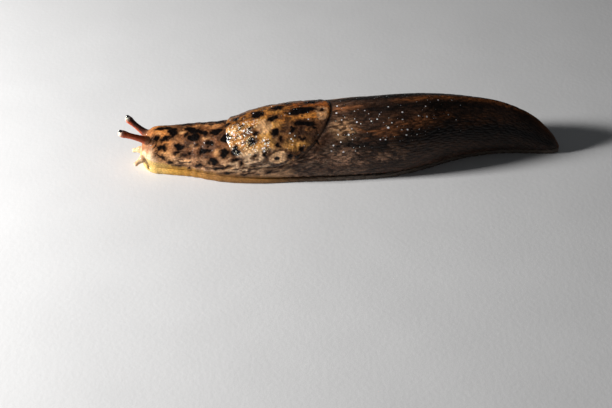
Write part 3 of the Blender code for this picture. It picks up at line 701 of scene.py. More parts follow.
        # Painted shade: a near-black line in the groove behind the mantle's rear edge, a dark band below its
        # lower edge on the side, and dark where the trunk tucks under its rear
        rear_rim_shade = bell(shield, -0.22, 0.26) * 0.65 + bell(shield, -0.1, 0.7) * 0.35
        hem_shade = bell(shield, -1.3, 1.2) * smooth(27, 30, u) * smooth(46, 38, u) * smooth(62, 78, side)
        tuck_shade = bell(shield, -1.4, 1.7) * smooth(38, 42, u) * smooth(40, 50, side) * smooth(84, 70, side)
        colour = layered(
            self.head_colours(),
            (rim, low),
            (self.flank_colours(), trunk),
            (MANTLE_TAN, self.patches(FLANK_PALES, 0.5, 0.25)),
            (NEAR_BLACK, self.patches(FLANK_DARKS, 0.45, 0.25)),
            (DARK_BROWN, streak * smooth(0.05, 0.32, dash + 0.3 * cloud) * 0.6),
            (self.mantle_colours(), smooth(-0.1, 0.12, shield)),
            # Painted shade round the mantle's rear and lower edge
            (NEAR_BLACK, rear_rim_shade * smooth(33, 41, u) * smooth(66, 30, side)),
            (DARK_BROWN, hem_shade * smooth(-0.5, 0.2, dash + 0.3) * 0.8),
            (DARK_BROWN, tuck_shade * 0.95),
        )
        colour = colour * (1 + 0.1 * cloud + 0.1 * fine)[..., None]

        # Fringe and sole
        halfway = np.abs(body.across) / np.max(np.abs(body.across), axis=1, keepdims=True)
        under = layered(SOLE_CREAM, (SOLE_GREY, smooth(0.34, 0.38, halfway) * 0.4))
        colour = layered(colour, (rim, body.zones("fringe", "groove")), (under, body.zones("sole")))
        return np.clip(colour, 0.001, 1)

    def head_colours(self):
        """Head and neck: orange tan, pinker low on the side, browner and more broken towards the mantle,
        with painted shade high on the right side.
        """
        u, turn, side = self.body.u, self.body.turn, self.side
        cloud, patch, dash = self.cloud, self.patch, self.dash
        brown = smooth(6, 12, u) * smooth(86, 62, side)
        darker = cloud - 0.3 * patch + 0.12 * smooth(10, 17, u)
        low_dash = smooth(60, 75, side) * smooth(125, 112, side) * smooth(3, 8, u)
        peach = bell(side, 84, 18) * smooth(10, 7, u) * smooth(2.0, 5.0, u)
        cream = smooth(50, 86, side + 3 * (4 - u) + 14 * cloud) * smooth(4.6, 1.4, u)
        cheek = smooth(0.1, 0.45, patch + 0.3 * dash) * smooth(8, 3, u) * smooth(100, 75, side)
        pale = bell(u, 24.0, 4.6) * smooth(80, 90, side) * smooth(118, 106, side)
        return layered(
            HEAD_TAN,
            (HEAD_PINK, smooth(35, 85, side) * smooth(2, 8, u)),
            (HEAD_ORANGE, smooth(9, 5, u) * smooth(82, 62, side) * 0.9),
            (NOSE_MAUVE, smooth(4.0, 1.4, u) * smooth(76, 58, side) * 0.85),
            (NECK_BROWN, brown * smooth(-0.62, -0.05, patch + 0.6 * cloud) * 0.92),
            (DARK_BROWN, brown * smooth(-0.04, 0.3, darker) * 0.9),
            (NECK_BROWN, smooth(0.05, 0.4, patch) * smooth(3, 9, u) * 0.55),
            # Painted shade high on the right side, where the slope turns away from the lamp, laid on as a
            # near-black band
            (NEAR_BLACK, bell(turn, 30, 16) * smooth(2, 6, u) * (0.95 + 0.3 * dash)),
            (DARK_BROWN, smooth(0.16, 0.42, dash) * (0.42 + 0.5 * low_dash) * smooth(3, 7, u)),
            (HEAD_PEACH, self.patches(HEAD_PALE, 0.55, 0.35)),
            (NECK_BROWN, self.patches(HEAD_DARK, 0.45, 0.4)),
            (HEAD_PEACH, peach * smooth(-0.7, 0.1, cloud) * 0.75),
            (FACE_CREAM, cream * 0.92),
            (NECK_BROWN, cheek * 0.35),
            (MANTLE_TAN, pale * smooth(-0.65, -0.15, cloud + 0.2 * self.fine) * smooth(0.32, 0.1, dash)),
        )

    def flank_colours(self):
        """Trunk and tail: grey-brown with pink mottles, dark banding with painted shade high on the right
        side, painted shade between the tubercles, and rust on the back and the keel.
        """
        u, v, turn, side = self.body.u, self.body.v, self.body.turn, self.side
        cloud, patch, dash, fibre = self.cloud, self.patch, self.dash, self.fibre
        bend = side + 4.0 * cloud
        # Dark bands along the body, with painted shade high on the right side, where the slope turns away
        # from the lamp
        bands_and_shade = bell(bend, 17, 10) * smooth(46, 52, u) * 1.1 + bell(bend, 64, 13) * smooth(43.5, 48, u) * 1.2
        bands_and_shade += bell(turn, 28, 18) + bell(bend, 112, 10) * smooth(60, 72, u) * 0.5
        warm = bell(side, 46, 12) * smooth(49, 53, u) * smooth(96, 70, u) * smooth(-0.35, 0.6, patch)
        mottle = bell(side, 92, 17) * smooth(43, 48, u) * smooth(72, 52, u)
        flank = layered(
            FLANK_PINK,
            (FLANK_PALE, smooth(0.05, 0.4, patch) * smooth(62, 50, u)),
            (FLANK_BROWN, smooth(46, 60, u)),
            (FLANK_BROWN, smooth(70, 48, side) * 0.8),
            (FLANK_BROWN, smooth(30, 35, u) * smooth(50, 45, u) * bell(side, 116, 13) * 0.95),
            (NEAR_BLACK, bands_and_shade * (0.9 + 0.3 * fibre)),
            (FLANK_TAN, bell(u, 48.2, 2.8) * bell(side, 42, 11) * (0.95 + 0.6 * cloud)),
            (RUST, warm),
            (RUST, bell(u, 60, 2.6) * bell(side, 50, 9) * 0.8),
            (RUST, bell(u, 66.5, 2.8) * bell(side, 42, 7) * 0.8),
            (RUST, bell(u, 49.0, 4.0) * bell(turn, -8, 5) * 0.7),
            (KEEL_BROWN, bell(v, -0.35, 0.75) * smooth(58, 66, u) * (0.85 + 0.3 * fibre)),
            (NEAR_BLACK, smooth(0.05, 0.45, fibre) * 0.6),
            (DARK_BROWN, smooth(0.1, 0.42, dash) * 0.62),
            (DARK_BROWN, smooth(0.02, 0.3, dash + 0.3 * patch) * smooth(56, 46, u) * 0.75),
            (DARK_BROWN, mottle * 0.35),
            (FLANK_PALE, mottle * smooth(0.02, 0.26, 0.55 * cloud + 0.45 * dash + 0.25 * self.fine)),
        )
        # Each tubercle's own tone, with painted shade in the grooves between the tubercles
        light = (0.8 + 0.45 * self.tone) * (1 - 0.22 * (1 - self.tubercle))
        light = light * (1 - 0.36 * smooth(46, 58, u) - 0.3 * smooth(70, 90, u))
        light = light * (1 - 0.22 * smooth(50, 56, u) * smooth(88, 70, side))
        return flank * light[..., None]

    def mantle_colours(self):
        """Mantle: gold in front, rust on top, pale low on the side, with dark blotches and pale rings, and
        painted shade high on the right side, between the ridges and in the breathing hole.
        """
        u, v, turn, side, shield = self.body.u, self.body.v, self.body.turn, self.side, self.shield
        cloud, patch, dash = self.cloud, self.patch, self.dash
        upper = smooth(-15, -3, turn) * (1.0 + 0.4 * cloud)
        low = smooth(52, 70, side)
        centre = smooth(19, 27, side) * smooth(66, 52, side) * smooth(31.0, 34.0, u + cloud) * (turn < 0)
        centre += bell(side, 45, 15) * smooth(31, 35, u + cloud) * (turn > 0) * 0.8
        rear_edge = smooth(3.6, 1.0, shield + 0.7 * cloud) * smooth(34, 40, u) * smooth(14, 30, side)
        rear_edge = rear_edge * (1 - 0.8 * bell(turn, -60, 9) * smooth(41, 38, u))
        ring = self.body.apart(*EYE_SPOT) + 0.05 * cloud
        pupil_u = u - EYE_SPOT[0] + 0.45
        pupil_v = v - self.body.place_of(*EYE_SPOT[:2]) + 0.15
        pupil = np.hypot((pupil_u - 0.4 * pupil_v) / 0.72, (pupil_v + 0.35 * pupil_u) / 0.42)
        mantle = layered(
            MANTLE_GOLD,
            (MANTLE_ORANGE, smooth(-0.25, 0.35, patch) * 0.7),
            (MANTLE_ORANGE, smooth(31, 36, u + 1.5 * cloud) * 0.75),
            (MANTLE_BRONZE, upper * 0.8),
            (MANTLE_RUST, upper * smooth(33, 38, u) * 0.8),
            (MANTLE_TAN, low * smooth(38, 30, u)),
            (DARK_BROWN, low * smooth(0.12, 0.36, cloud + 0.35 * dash) * 0.85),
            (MANTLE_BROWN, centre),
            (DARK_BROWN, smooth(-0.38, 0.05, cloud + 0.5 * patch) * centre),
            (MANTLE_GOLD, bell(u, 37.5, 3.2) * bell(turn, -58, 8)),
            (DARK_BROWN, smooth(0.16, 0.46, dash + 0.45 * patch + 0.1 * smooth(30, 33, u)) * 0.8),
            (MANTLE_GOLD, bell(u, 37.2, 2.8) * bell(turn, -60, 7) * 0.92),
            (DARK_BROWN, rear_edge * 0.92),
            (MANTLE_PALE, self.patches(PALE_PATCHES, 0.8, 0.12)),
            (DARK_BROWN, self.patches(DARK_PATCHES, 0.5, 0.35)),
            (DARK_BROWN, bell(ring, 1.2, 0.24) * 0.85),
            (MANTLE_PALE, smooth(1.06, 0.92, ring)),
            (NEAR_BLACK, smooth(1.25, 0.85, pupil + 0.1 * cloud)),
            # Painted shade high on the right side, where the slope turns away from the lamp, laid on as a
            # near-black band
            (NEAR_BLACK, bell(turn, 34, 13) * (0.85 + 0.4 * dash)),
        )
        # Painted shade in the grooves between the mantle's fine ridges
        mantle = mantle * (1 - 0.1 * (1 - self.ridge))[..., None]
        # Painted shade inside the breathing hole
        return layered(mantle, (DARK_BROWN, bell(self.hole, 0.4, 0.8) * 0.8))


# Upper tentacles, the left one first: side, reach from root to tip, lift of the bend, and how dark on top;
# the right horn's larger share also paints the shade it stands in
HORNS = [
    (-1, (-0.0057, -0.0019, 0.0034), 0.0, 0.15),
    (1, (-0.0041, 0.0012, 0.0033), -0.0004, 1.0),
]
HORN_STATION = 0.014
HORN_TURN = 24
HORN_ROOT_RADIUS = 0.00102
HORN_MID_RADIUS = 0.00071
HORN_BULB_RADIUS = 0.0009
HORN_FLARE = 0.00022
HORN_SINK = 0.0016
HORN_GRAIN = 0.028
EYE_RADIUS = 0.00046
EYE_FLATNESS = 0.94
# Lower tentacles: side and reach
FEELERS = [(-1, (-0.0021, -0.0012, -0.0013)), (1, (-0.0023, 0.0012, -0.0011))]
FEELER_STATION = 0.0025
FEELER_TURN = 130
FEELER_ROOT_RADIUS = 0.00068
FEELER_TIP_RADIUS = 0.0005
FEELER_FLARE = 0.0004
FEELER_BULB = 0.00006
FEELER_SINK = 0.001
FEELER_GRAIN = 0.012
# Tubes: points round and rings, the skin's bumps in millimetres, and the radius below which they fade
TUBE_SIDES = 44
HORN_RINGS = 84
FEELER_RINGS = 42
GRAIN_SIZE = 0.33
GRAIN_FADE = 0.0004

# Where the tentacles grow into the skin: how far from the joint and how often it is smoothed, and what
# counts as a new point
CREASE_REACH = 0.001
CREASE_ROUNDS = 24
CREASE_PULL = 0.6
CREASE_REAR = -0.042
NEW_POINT = 0.0000005

# The skin's map: corners and size of the tentacles' rectangles, as shares of it
TUBE_CORNERS = [(0.8, 0.01), (0.9, 0.01), (0.8, 0.83), (0.9, 0.83)]
TUBE_MAP_SIZE = (0.08, 0.14)

# Studio: lengths in metres, and the camera's lens and sensor in millimetres
FLOOR_HALF = 3
LENS_MM = 70
SENSOR_MM = 36
CAMERA_TILT = math.radians(39)
CAMERA_AWAY = 0.28
CAMERA_TARGET = Vector((-0.0115, -0.0178, 0))


def root_place(body, station, turn, side):
    """Point and outward direction on the body at a station and an angle from the back's midline."""
    i = int(np.argmin(np.abs(body.station - station)))
    j = int(np.argmin(np.abs(body.turn[i] - turn * side)))
    return Vector(body.point[i, j]), Vector(body.normal[i, j])


def tube(path, radii, seed, bumps):
    """A closed round tube with small bumps, as points, faces and each point's share of the length."""
    count = len(path)
    places, outs, faces = [], [], []
    side_axis = (path[1] - path[0]).normalized().orthogonal().normalized()
    for i in range(count):
        ahead = path[min(i + 1, count - 1)] - path[max(i - 1, 0)]
        ahead.normalize()
        side_axis = (side_axis - ahead * side_axis.dot(ahead)).normalized()
        up_axis = ahead.cross(side_axis)
        for j in range(TUBE_SIDES):
            angle = 2 * math.pi * j / TUBE_SIDES
            outs.append(side_axis * math.cos(angle) + up_axis * math.sin(angle))
            places.append(path[i] + outs[-1] * radii[i])
    shift = np.array([seed * 3.1, seed * 1.7, seed * 2.3])
    grain = lattice_noise(np.array([tuple(place) for place in places]) / MM / GRAIN_SIZE + shift, 77)
    points = []
    for number, (place, out) in enumerate(zip(places, outs)):
        fade = min(1, radii[number // TUBE_SIDES] / GRAIN_FADE)
        points.append(place + out * (bumps * MM * float(grain[number])) * fade)
    for low in range(0, (count - 1) * TUBE_SIDES, TUBE_SIDES):
        high = low + TUBE_SIDES
        for j in range(TUBE_SIDES):
            k = (j + 1) % TUBE_SIDES
            faces.append((low + j, low + k, high + k, high + j))
    faces.append(tuple(range(TUBE_SIDES - 1, -1, -1)))
    faces.append(tuple((count - 1) * TUBE_SIDES + j for j in range(TUBE_SIDES)))
    return points, faces, np.repeat([i / (count - 1) for i in range(count)], TUBE_SIDES)


def bowed(root, bend, tip, share):
    """Point at a share of the way along a bowed line from root to tip."""
    return root * (1 - share) ** 2 + bend * 2 * share * (1 - share) + tip * share ** 2


def bowed_tube(line, steps, thickness, end, seed, bumps):
    """A tube on a bowed line, as thick as a function of the share says, with a dome at its end.

    The end is the number of the dome's rings, its radius, how far it bulges and its least radius."""
    rings, end_radius, bulge, least = end
    heading = (line[2] - line[1]).normalized()
    shares = [i / (steps - 1) for i in range(steps)]
    path = [bowed(*line, share) for share in shares]
    radii = [thickness(share) for share in shares]
    for i in range(1, rings + 1):
        turn = math.pi / 2 * i / rings
        path.append(line[2] + heading * end_radius * bulge * math.sin(turn))
        radii.append(max(radii[steps - 1] * math.cos(turn), least))
    return tube(path, radii, seed, bumps)


def horn_radius(share):
    """Radius of an upper tentacle: it flares into the head at its root and ends in a bulb."""
    stalk = HORN_ROOT_RADIUS + (HORN_MID_RADIUS - HORN_ROOT_RADIUS) * min(1.0, share / 0.6)
    bulb = (HORN_BULB_RADIUS - HORN_MID_RADIUS) * bell(share, 0.93, 0.13)
    return stalk + bulb + HORN_FLARE * bell(share, 0.2, 0.09)


def feeler_radius(share):
    """Radius of a lower tentacle, which is short and blunt."""
    stalk = FEELER_ROOT_RADIUS + (FEELER_TIP_RADIUS - FEELER_ROOT_RADIUS) * share
    return stalk + FEELER_FLARE * bell(share, 0.3, 0.16) + FEELER_BULB * bell(share, 0.95, 0.15)


def horn_tube(body, side, reach, lift, seed):
    """An upper tentacle, and its eye's centre."""
    surface, normal = root_place(body, HORN_STATION, HORN_TURN, side)
    tip = surface + Vector(reach)
    bend = surface + Vector(reach) * 0.45 + Vector((0, 0, lift))
    line = (surface - normal * HORN_SINK, bend, tip)
    dome = 14
    end = (dome, HORN_BULB_RADIUS, 0.85, 0.00006)
    made = bowed_tube(line, HORN_RINGS - dome, horn_radius, end, seed, HORN_GRAIN)
    ahead = (tip - bend).normalized() * HORN_BULB_RADIUS * 0.15
    return made, tip + ahead + Vector((0, 0, HORN_BULB_RADIUS * 0.62))


def feeler_tube(body, side, reach, seed):
    """A lower tentacle."""
    surface, normal = root_place(body, FEELER_STATION, FEELER_TURN, side)
    tip = surface + Vector(reach)
    bend = (surface + tip) / 2 + normal * FEELER_ROOT_RADIUS
    line = (surface - normal * FEELER_SINK, bend, tip)
    dome = 12
    end = (dome, FEELER_TIP_RADIUS, 0.8, 0.00005)
    return bowed_tube(line, FEELER_RINGS - dome, feeler_radius, end, seed, FEELER_GRAIN)


def linked(name, data):
    """A new object for a mesh, a lamp or a camera, linked to the scene."""
    item = bpy.data.objects.new(name, data)
    bpy.context.scene.collection.objects.link(item)
    return item


def mesh_of(name, points, faces):
    """A mesh object linked to the scene."""
    mesh = bpy.data.meshes.new(name)
    mesh.from_pydata([tuple(p) for p in points], [], faces)
    mesh.update()
    return linked(name, mesh)


def grid_mesh(name, points):
    """A mesh over rings of points, closed round each ring, with a fan of small faces at both ends."""
    rings, count = points.shape[:2]
    index = np.arange(rings * count).reshape(rings, count)
    here, there = index[:-1], index[1:]
    quads = np.stack([here, np.roll(here, -1, 1), np.roll(there, -1, 1), there], -1).reshape(-1, 4)
    faces = quads.tolist()
    extra = []
    for ring, turned in ((0, True), (rings - 1, False)):
        middle = rings * count + len(extra)
        extra.append(points[ring].mean(0))
        for j in range(count):
            one, two = int(index[ring, j]), int(index[ring, (j + 1) % count])
            faces.append([two, one, middle] if turned else [one, two, middle])
    return mesh_of(name, np.concatenate([points.reshape(-1, 3), np.array(extra)]).tolist(), faces)


def store(mesh, name, values):
    """Store one number, or one colour, for each vertex of a mesh."""
    kind, key = "FLOAT", "value"
    if values.ndim == 2:
        kind, key = "FLOAT_COLOR", "color"
        values = np.concatenate([values, np.ones((len(values), 1))], 1)
    layer = mesh.attributes.new(name, kind, "POINT")
    layer.data.foreach_set(key, np.ascontiguousarray(values, dtype=np.float32).ravel())


def shade_smooth(mesh):
    """Smooth shading for all faces of a mesh."""
    mesh.polygons.foreach_set("use_smooth", [True] * len(mesh.polygons))


def face_shape(body, height):
    """Lips, the upright line of the mouth and the hollow between the horns, added to the height."""
    x = (body.point[..., 0] + BODY_LENGTH / 2) / MM
    y = (body.point[..., 1] - body.point[0, :, 1].mean()) / MM
    z = body.point[..., 2] / MM
    front = smooth(3.2, 1.2, x)
    lips = 0.75 * np.exp(-((y / 1.55) ** 2) - ((z - 2.7) / 1.15) ** 2)
    slit = -0.42 * np.exp(-((y / 0.13) ** 2)) * smooth(1.3, 2.0, z) * smooth(4.1, 3.3, z)
    creases = -0.1 * bell(np.abs(y), 1.9, 0.22) * smooth(1.5, 2.4, z) * smooth(5.5, 4.4, z)
    sole_free = (body.zone != "sole")[None, :]
    hollow = -0.22 * bell(y, 0, 0.9) * smooth(6.0, 8.5, z) * smooth(5.0, 1.0, x)
    return height + (front * (lips + slit + creases) + hollow) * sole_free


def skin_map(mesh, body):
    """The skin's own unwrap: along the body one way, round it the other."""
    rings, count = body.u.shape
    widest = body.girth.max()
    across = 0.03 + 0.94 * body.run / body.run.max()
    up = 0.5 + 0.46 * body.v / widest
    flip = 0.5 - 0.46 * body.girth[:, 0] / widest
    ahead = np.stack([np.roll(across, -1, 1), np.roll(up, -1, 1)], -1)
    ahead[:, -1, 1] = flip
    here = np.stack([across, up], -1)
    quads = np.stack([here[:-1], ahead[:-1], ahead[1:], here[1:]], 2).reshape(-1, 2)
    fans = []
    for ring, turned in ((0, True), (rings - 1, False)):
        tip = 0.005 if turned else 0.995
        for j in range(count):
            one = (across[ring, j], up[ring, j])
            k = (j + 1) % count
            two = (across[ring, k], up[ring, k] if k else flip[ring])
            pair = [two, one] if turned else [one, two]
            fans += pair + [(tip, (one[1] + two[1]) / 2)]
    layer = mesh.uv_layers.new(name="OFBake")
    layer.data.foreach_set("uv", np.concatenate([quads, np.array(fans)]).astype(np.float32).ravel())


def tube_map(mesh, corner, size):
    """A tube's unwrap, in one small rectangle of the map."""
    layer = mesh.uv_layers.new(name="OFBake")
    last = len(mesh.vertices) // TUBE_SIDES - 1
    for face in mesh.polygons:
        rows = [mesh.loops[i].vertex_index // TUBE_SIDES for i in face.loop_indices]
        turns = [mesh.loops[i].vertex_index % TUBE_SIDES for i in face.loop_indices]
        wraps = max(turns) - min(turns) > TUBE_SIDES / 2 and len(turns) == 4
        for loop, row, turn in zip(face.loop_indices, rows, turns):
            turn += TUBE_SIDES if wraps and turn == 0 else 0
            if len(rows) == 4:
                place = (turn / TUBE_SIDES, row / last)
            else:
                place = (0.5 + 0.01 * math.cos(turn), (1.04 if row else -0.04) + 0.01 * math.sin(turn))
            layer.data[loop].uv = (corner[0] + size[0] * place[0], corner[1] + size[1] * place[1])


def joined(items, name):
    """Several mesh objects as one."""
    for item in items:
        item.select_set(True)
    bpy.context.view_layer.objects.active = items[0]
    with bpy.context.temp_override(active_object=items[0], selected_editable_objects=items):
        bpy.ops.object.join()
    items[0].name = name
    return items[0]


def fused(skin_item, tubes_item):
    """The skin with the tentacles grown into it, the crease where they meet smoothed out."""
    vertices = [*skin_item.data.vertices, *tubes_item.data.vertices]
    before = KDTree(len(vertices))
    for number, vertex in enumerate(vertices):
        before.insert(vertex.co, number)
    before.balance()
    union = skin_item.modifiers.new("union", "BOOLEAN")
    union.operation = "UNION"
    union.solver = "MANIFOLD"
    union.object = tubes_item
    depsgraph = bpy.context.evaluated_depsgraph_get()
    mesh = bpy.data.meshes.new_from_object(skin_item.evaluated_get(depsgraph))
    skin_item.modifiers.clear()
    old = skin_item.data
    skin_item.data = mesh
    bpy.data.meshes.remove(old)
    bpy.data.objects.remove(tubes_item, do_unlink=True)
    nearest = np.zeros(len(mesh.vertices), dtype=int)
    places = []
    for vertex in mesh.vertices:
        _, nearest[vertex.index], distance = before.find(vertex.co)
        if distance > NEW_POINT:
            places.append(vertex.co.copy())
    crease = KDTree(len(places))
    for i, place in enumerate(places):
        crease.insert(place, i)
    crease.balance()
    shape = bmesh.new()
    shape.from_mesh(mesh)
    close = []
    for vertex in shape.verts:
        if vertex.co.x < CREASE_REAR:
            _, _, distance = crease.find(vertex.co)
            if distance < CREASE_REACH:
                close.append((vertex, 1 - distance / CREASE_REACH))
    for _ in range(CREASE_ROUNDS):
        moved = []
        for vertex, weight in close:
            middle = Vector()
            for edge in vertex.link_edges:
                middle += edge.other_vert(vertex).co
            middle /= len(vertex.link_edges)
            moved.append(vertex.co.lerp(middle, CREASE_PULL * weight))
        for (vertex, _), place in zip(close, moved):
            vertex.co = place
    shape.to_mesh(mesh)
    shape.free()
    return nearest


def tube_tint(mesh, shares, dark):
    """Colours of a tentacle: rust, dark on top, with painted shade where that share is large, and pale at
    the end, or plain tan where dark is None.
    """
    places = np.array([tuple(vertex.co) for vertex in mesh.vertices]) / MM
    facing_up = np.array([vertex.normal.z for vertex in mesh.vertices])
    cloud = layered_noise(places / 0.7, 91, 2)
    if dark is None:
        tint = layered(FEELER_TAN, (HORN_PALE, smooth(0.5, 0.9, shares) * 0.55))
    else:
        tint = layered(
            HORN_RUST,
            # Dark on top; on the far horn the large share also paints the shade it stands in
            (HORN_DARK, smooth(-0.5, 0.5, facing_up + 0.25 * cloud) * dark),
            (HORN_ROOT, smooth(0.3, 0.14, shares + 0.04 * cloud)),
            (HORN_PALE, smooth(0.76, 0.96, shares) * 0.85),
        )
    return np.clip(tint * (1 + 0.14 * cloud)[:, None], 0.001, 1)


def build_skin():
    """The whole soft body as one piece, and the places of the two eyes."""
    body = Body()
    skin = Skin(body)
    height = face_shape(body, skin.height)
    points = body.point + body.normal * height[..., None] * MM
    points[..., 2] = np.maximum(points[..., 2], 0.0)
    item = grid_mesh("slug_skin", points)
    skin_map(item.data, body)

    made, eyes = [], []
    for number, (side, reach, lift, dark) in enumerate(HORNS):
        horn, eye = horn_tube(body, side, reach, lift, number + 1)
        made.append((horn, dark))
        eyes.append(eye)
    for number, (side, reach) in enumerate(FEELERS):
        made.append((feeler_tube(body, side, reach, number + 5), None))
    tubes, tints, clears = [], [], []
    for ((tube_points, faces, shares), dark), corner in zip(made, TUBE_CORNERS):
        part = mesh_of("tube", tube_points, faces)
        tube_map(part.data, corner, TUBE_MAP_SIZE)
        tubes.append(part)
        tints.append(tube_tint(part.data, shares, dark))
        clears.append(smooth(0.2, 0.6, shares))
    tints, clears = np.concatenate(tints), np.concatenate(clears)
    nearest = fused(item, joined(tubes, "tubes"))

    # How raised the skin's cells and ridges are, which sets the painted shade in the grooves between them
    groove_shade = np.maximum(np.maximum(skin.tubercle, skin.pebble), skin.ridge)
    foot = smooth(108, 122, skin.side + 1.6 * (8 - body.u)) * smooth(30, 18, body.u)
    foot = np.maximum(foot, body.zones("fringe", "groove", "sole"))
    end_tints = [skin.colour[0].mean(0), skin.colour[-1].mean(0)]
    # Fields: name, values on the grid, on its two end points, and on the tentacles
    for name, on_grid, on_ends, on_tubes in [
        ("wet_and_glints", skin.wet_and_glints, 0.35, 0.35),
        ("glint_beads", skin.glint_beads, 0, 0),
        ("glint_drops", skin.glint_drops, 0, 0),
        ("plain", foot, 1, 1),
        ("tint", skin.colour, end_tints, tints),
        ("blotch", skin.blotch, NO_SPOT, NO_SPOT),
        ("groove_shade", groove_shade, 0.5, 0.8),
        ("clear", np.zeros(groove_shade.shape), 0, clears),
    ]:
        wide = on_grid.shape[2:]
        ends = np.broadcast_to(on_ends, (2, *wide))
        rest = np.broadcast_to(on_tubes, (len(clears), *wide))
        values = np.concatenate([on_grid.reshape(-1, *wide), ends, rest])
        store(item.data, name, values[nearest])
    shade_smooth(item.data)
    return item, eyes


class Nodes:
    """A short way to write a material's nodes."""

    def __init__(self, name):
        self.material = bpy.data.materials.new(name)
        self.material.use_nodes = True
        self.tree = self.material.node_tree
        self.tree.nodes.clear()
        self.shader = self.node("BsdfPrincipled")
        self.node("OutputMaterial", Surface=self.shader.outputs[0])
        self.place = self.node("TexCoord").outputs["Object"]

    def put(self, socket, value):
        """Link a socket to the value, where it is an output, or set it."""
        if isinstance(value, bpy.types.NodeSocket):
            self.tree.links.new(value, socket)
        else:
            socket.default_value = value

    def node(self, kind, **values):
        """A new node, with some of its inputs linked or set."""
        made = self.tree.nodes.new("ShaderNode" + kind)
        for name, value in values.items():
            self.put(made.inputs[name], value)
        return made

    def attribute(self, name, output="Fac"):
        """A field that is stored on the mesh."""
        node = self.node("Attribute")
        node.attribute_name = name
        return node.outputs[output]

    def noise(self, scale, detail=2.0, rough=0.5):
        """Noise from 0 to 1."""
        node = self.node("TexNoise", Vector=self.place, Scale=scale, Detail=detail, Roughness=rough)
        return node.outputs["Fac"]

    def granules(self, scale):
        """Distance from the middles of soft round cells."""
        node = self.node("TexVoronoi", Vector=self.place, Scale=scale)
        node.feature = "SMOOTH_F1"
        node.inputs["Smoothness"].default_value = 0.4
        return node.outputs["Distance"]

    def glint_drops(self, scale, radius, share):
        """Round spots at some of the cells, for painted glints: 1 at a spot's middle, 0 from its radius
        outwards.
        """
        node = self.node("TexVoronoi", Vector=self.place, Scale=scale)
        pick = self.node("SeparateColor", Color=node.outputs["Color"])
        chosen = self.maths("LESS_THAN", pick.outputs[0], share)
        return self.maths("MULTIPLY", self.spread(node.outputs["Distance"], 0, radius, 1, 0), chosen)

    def maths(self, operation, *values):
        """A sum, a product or the like of two values."""
        node = self.node("Math")
        node.operation = operation
        for socket, value in zip(node.inputs, values):
            self.put(socket, value)
        return node.outputs[0]

    def spread(self, value, low, high, new_low=0, new_high=1, soft=True):
        """The value taken from one range to another, with soft ends or straight."""
        node = self.node("MapRange")
        node.interpolation_type = "SMOOTHSTEP" if soft else "LINEAR"
        for socket, given in zip(node.inputs, (value, low, high, new_low, new_high)):
            self.put(socket, given)
        return node.outputs[0]

    def blend(self, share, one, other, kind="MIX"):
        """One colour with another over a share of it."""
        node = self.node("Mix")
        node.data_type = "RGBA"
        node.blend_type = kind
        self.put(node.inputs["Factor"], share)
        self.put(node.inputs[6], one)
        self.put(node.inputs[7], other)
        return node.outputs[2]

    def bump(self, height, distance, strength=1.0, **under):
        """A normal that follows a height, over another normal where one is given."""
        node = self.node("Bump", Strength=strength, Distance=distance, Height=height, **under)
        return node.outputs["Normal"]

    def shaded(self, inputs):
        """Link or set inputs of the shader, and give the material."""
        for name, value in inputs.items():
            self.put(self.shader.inputs[name], value)
        return self.material


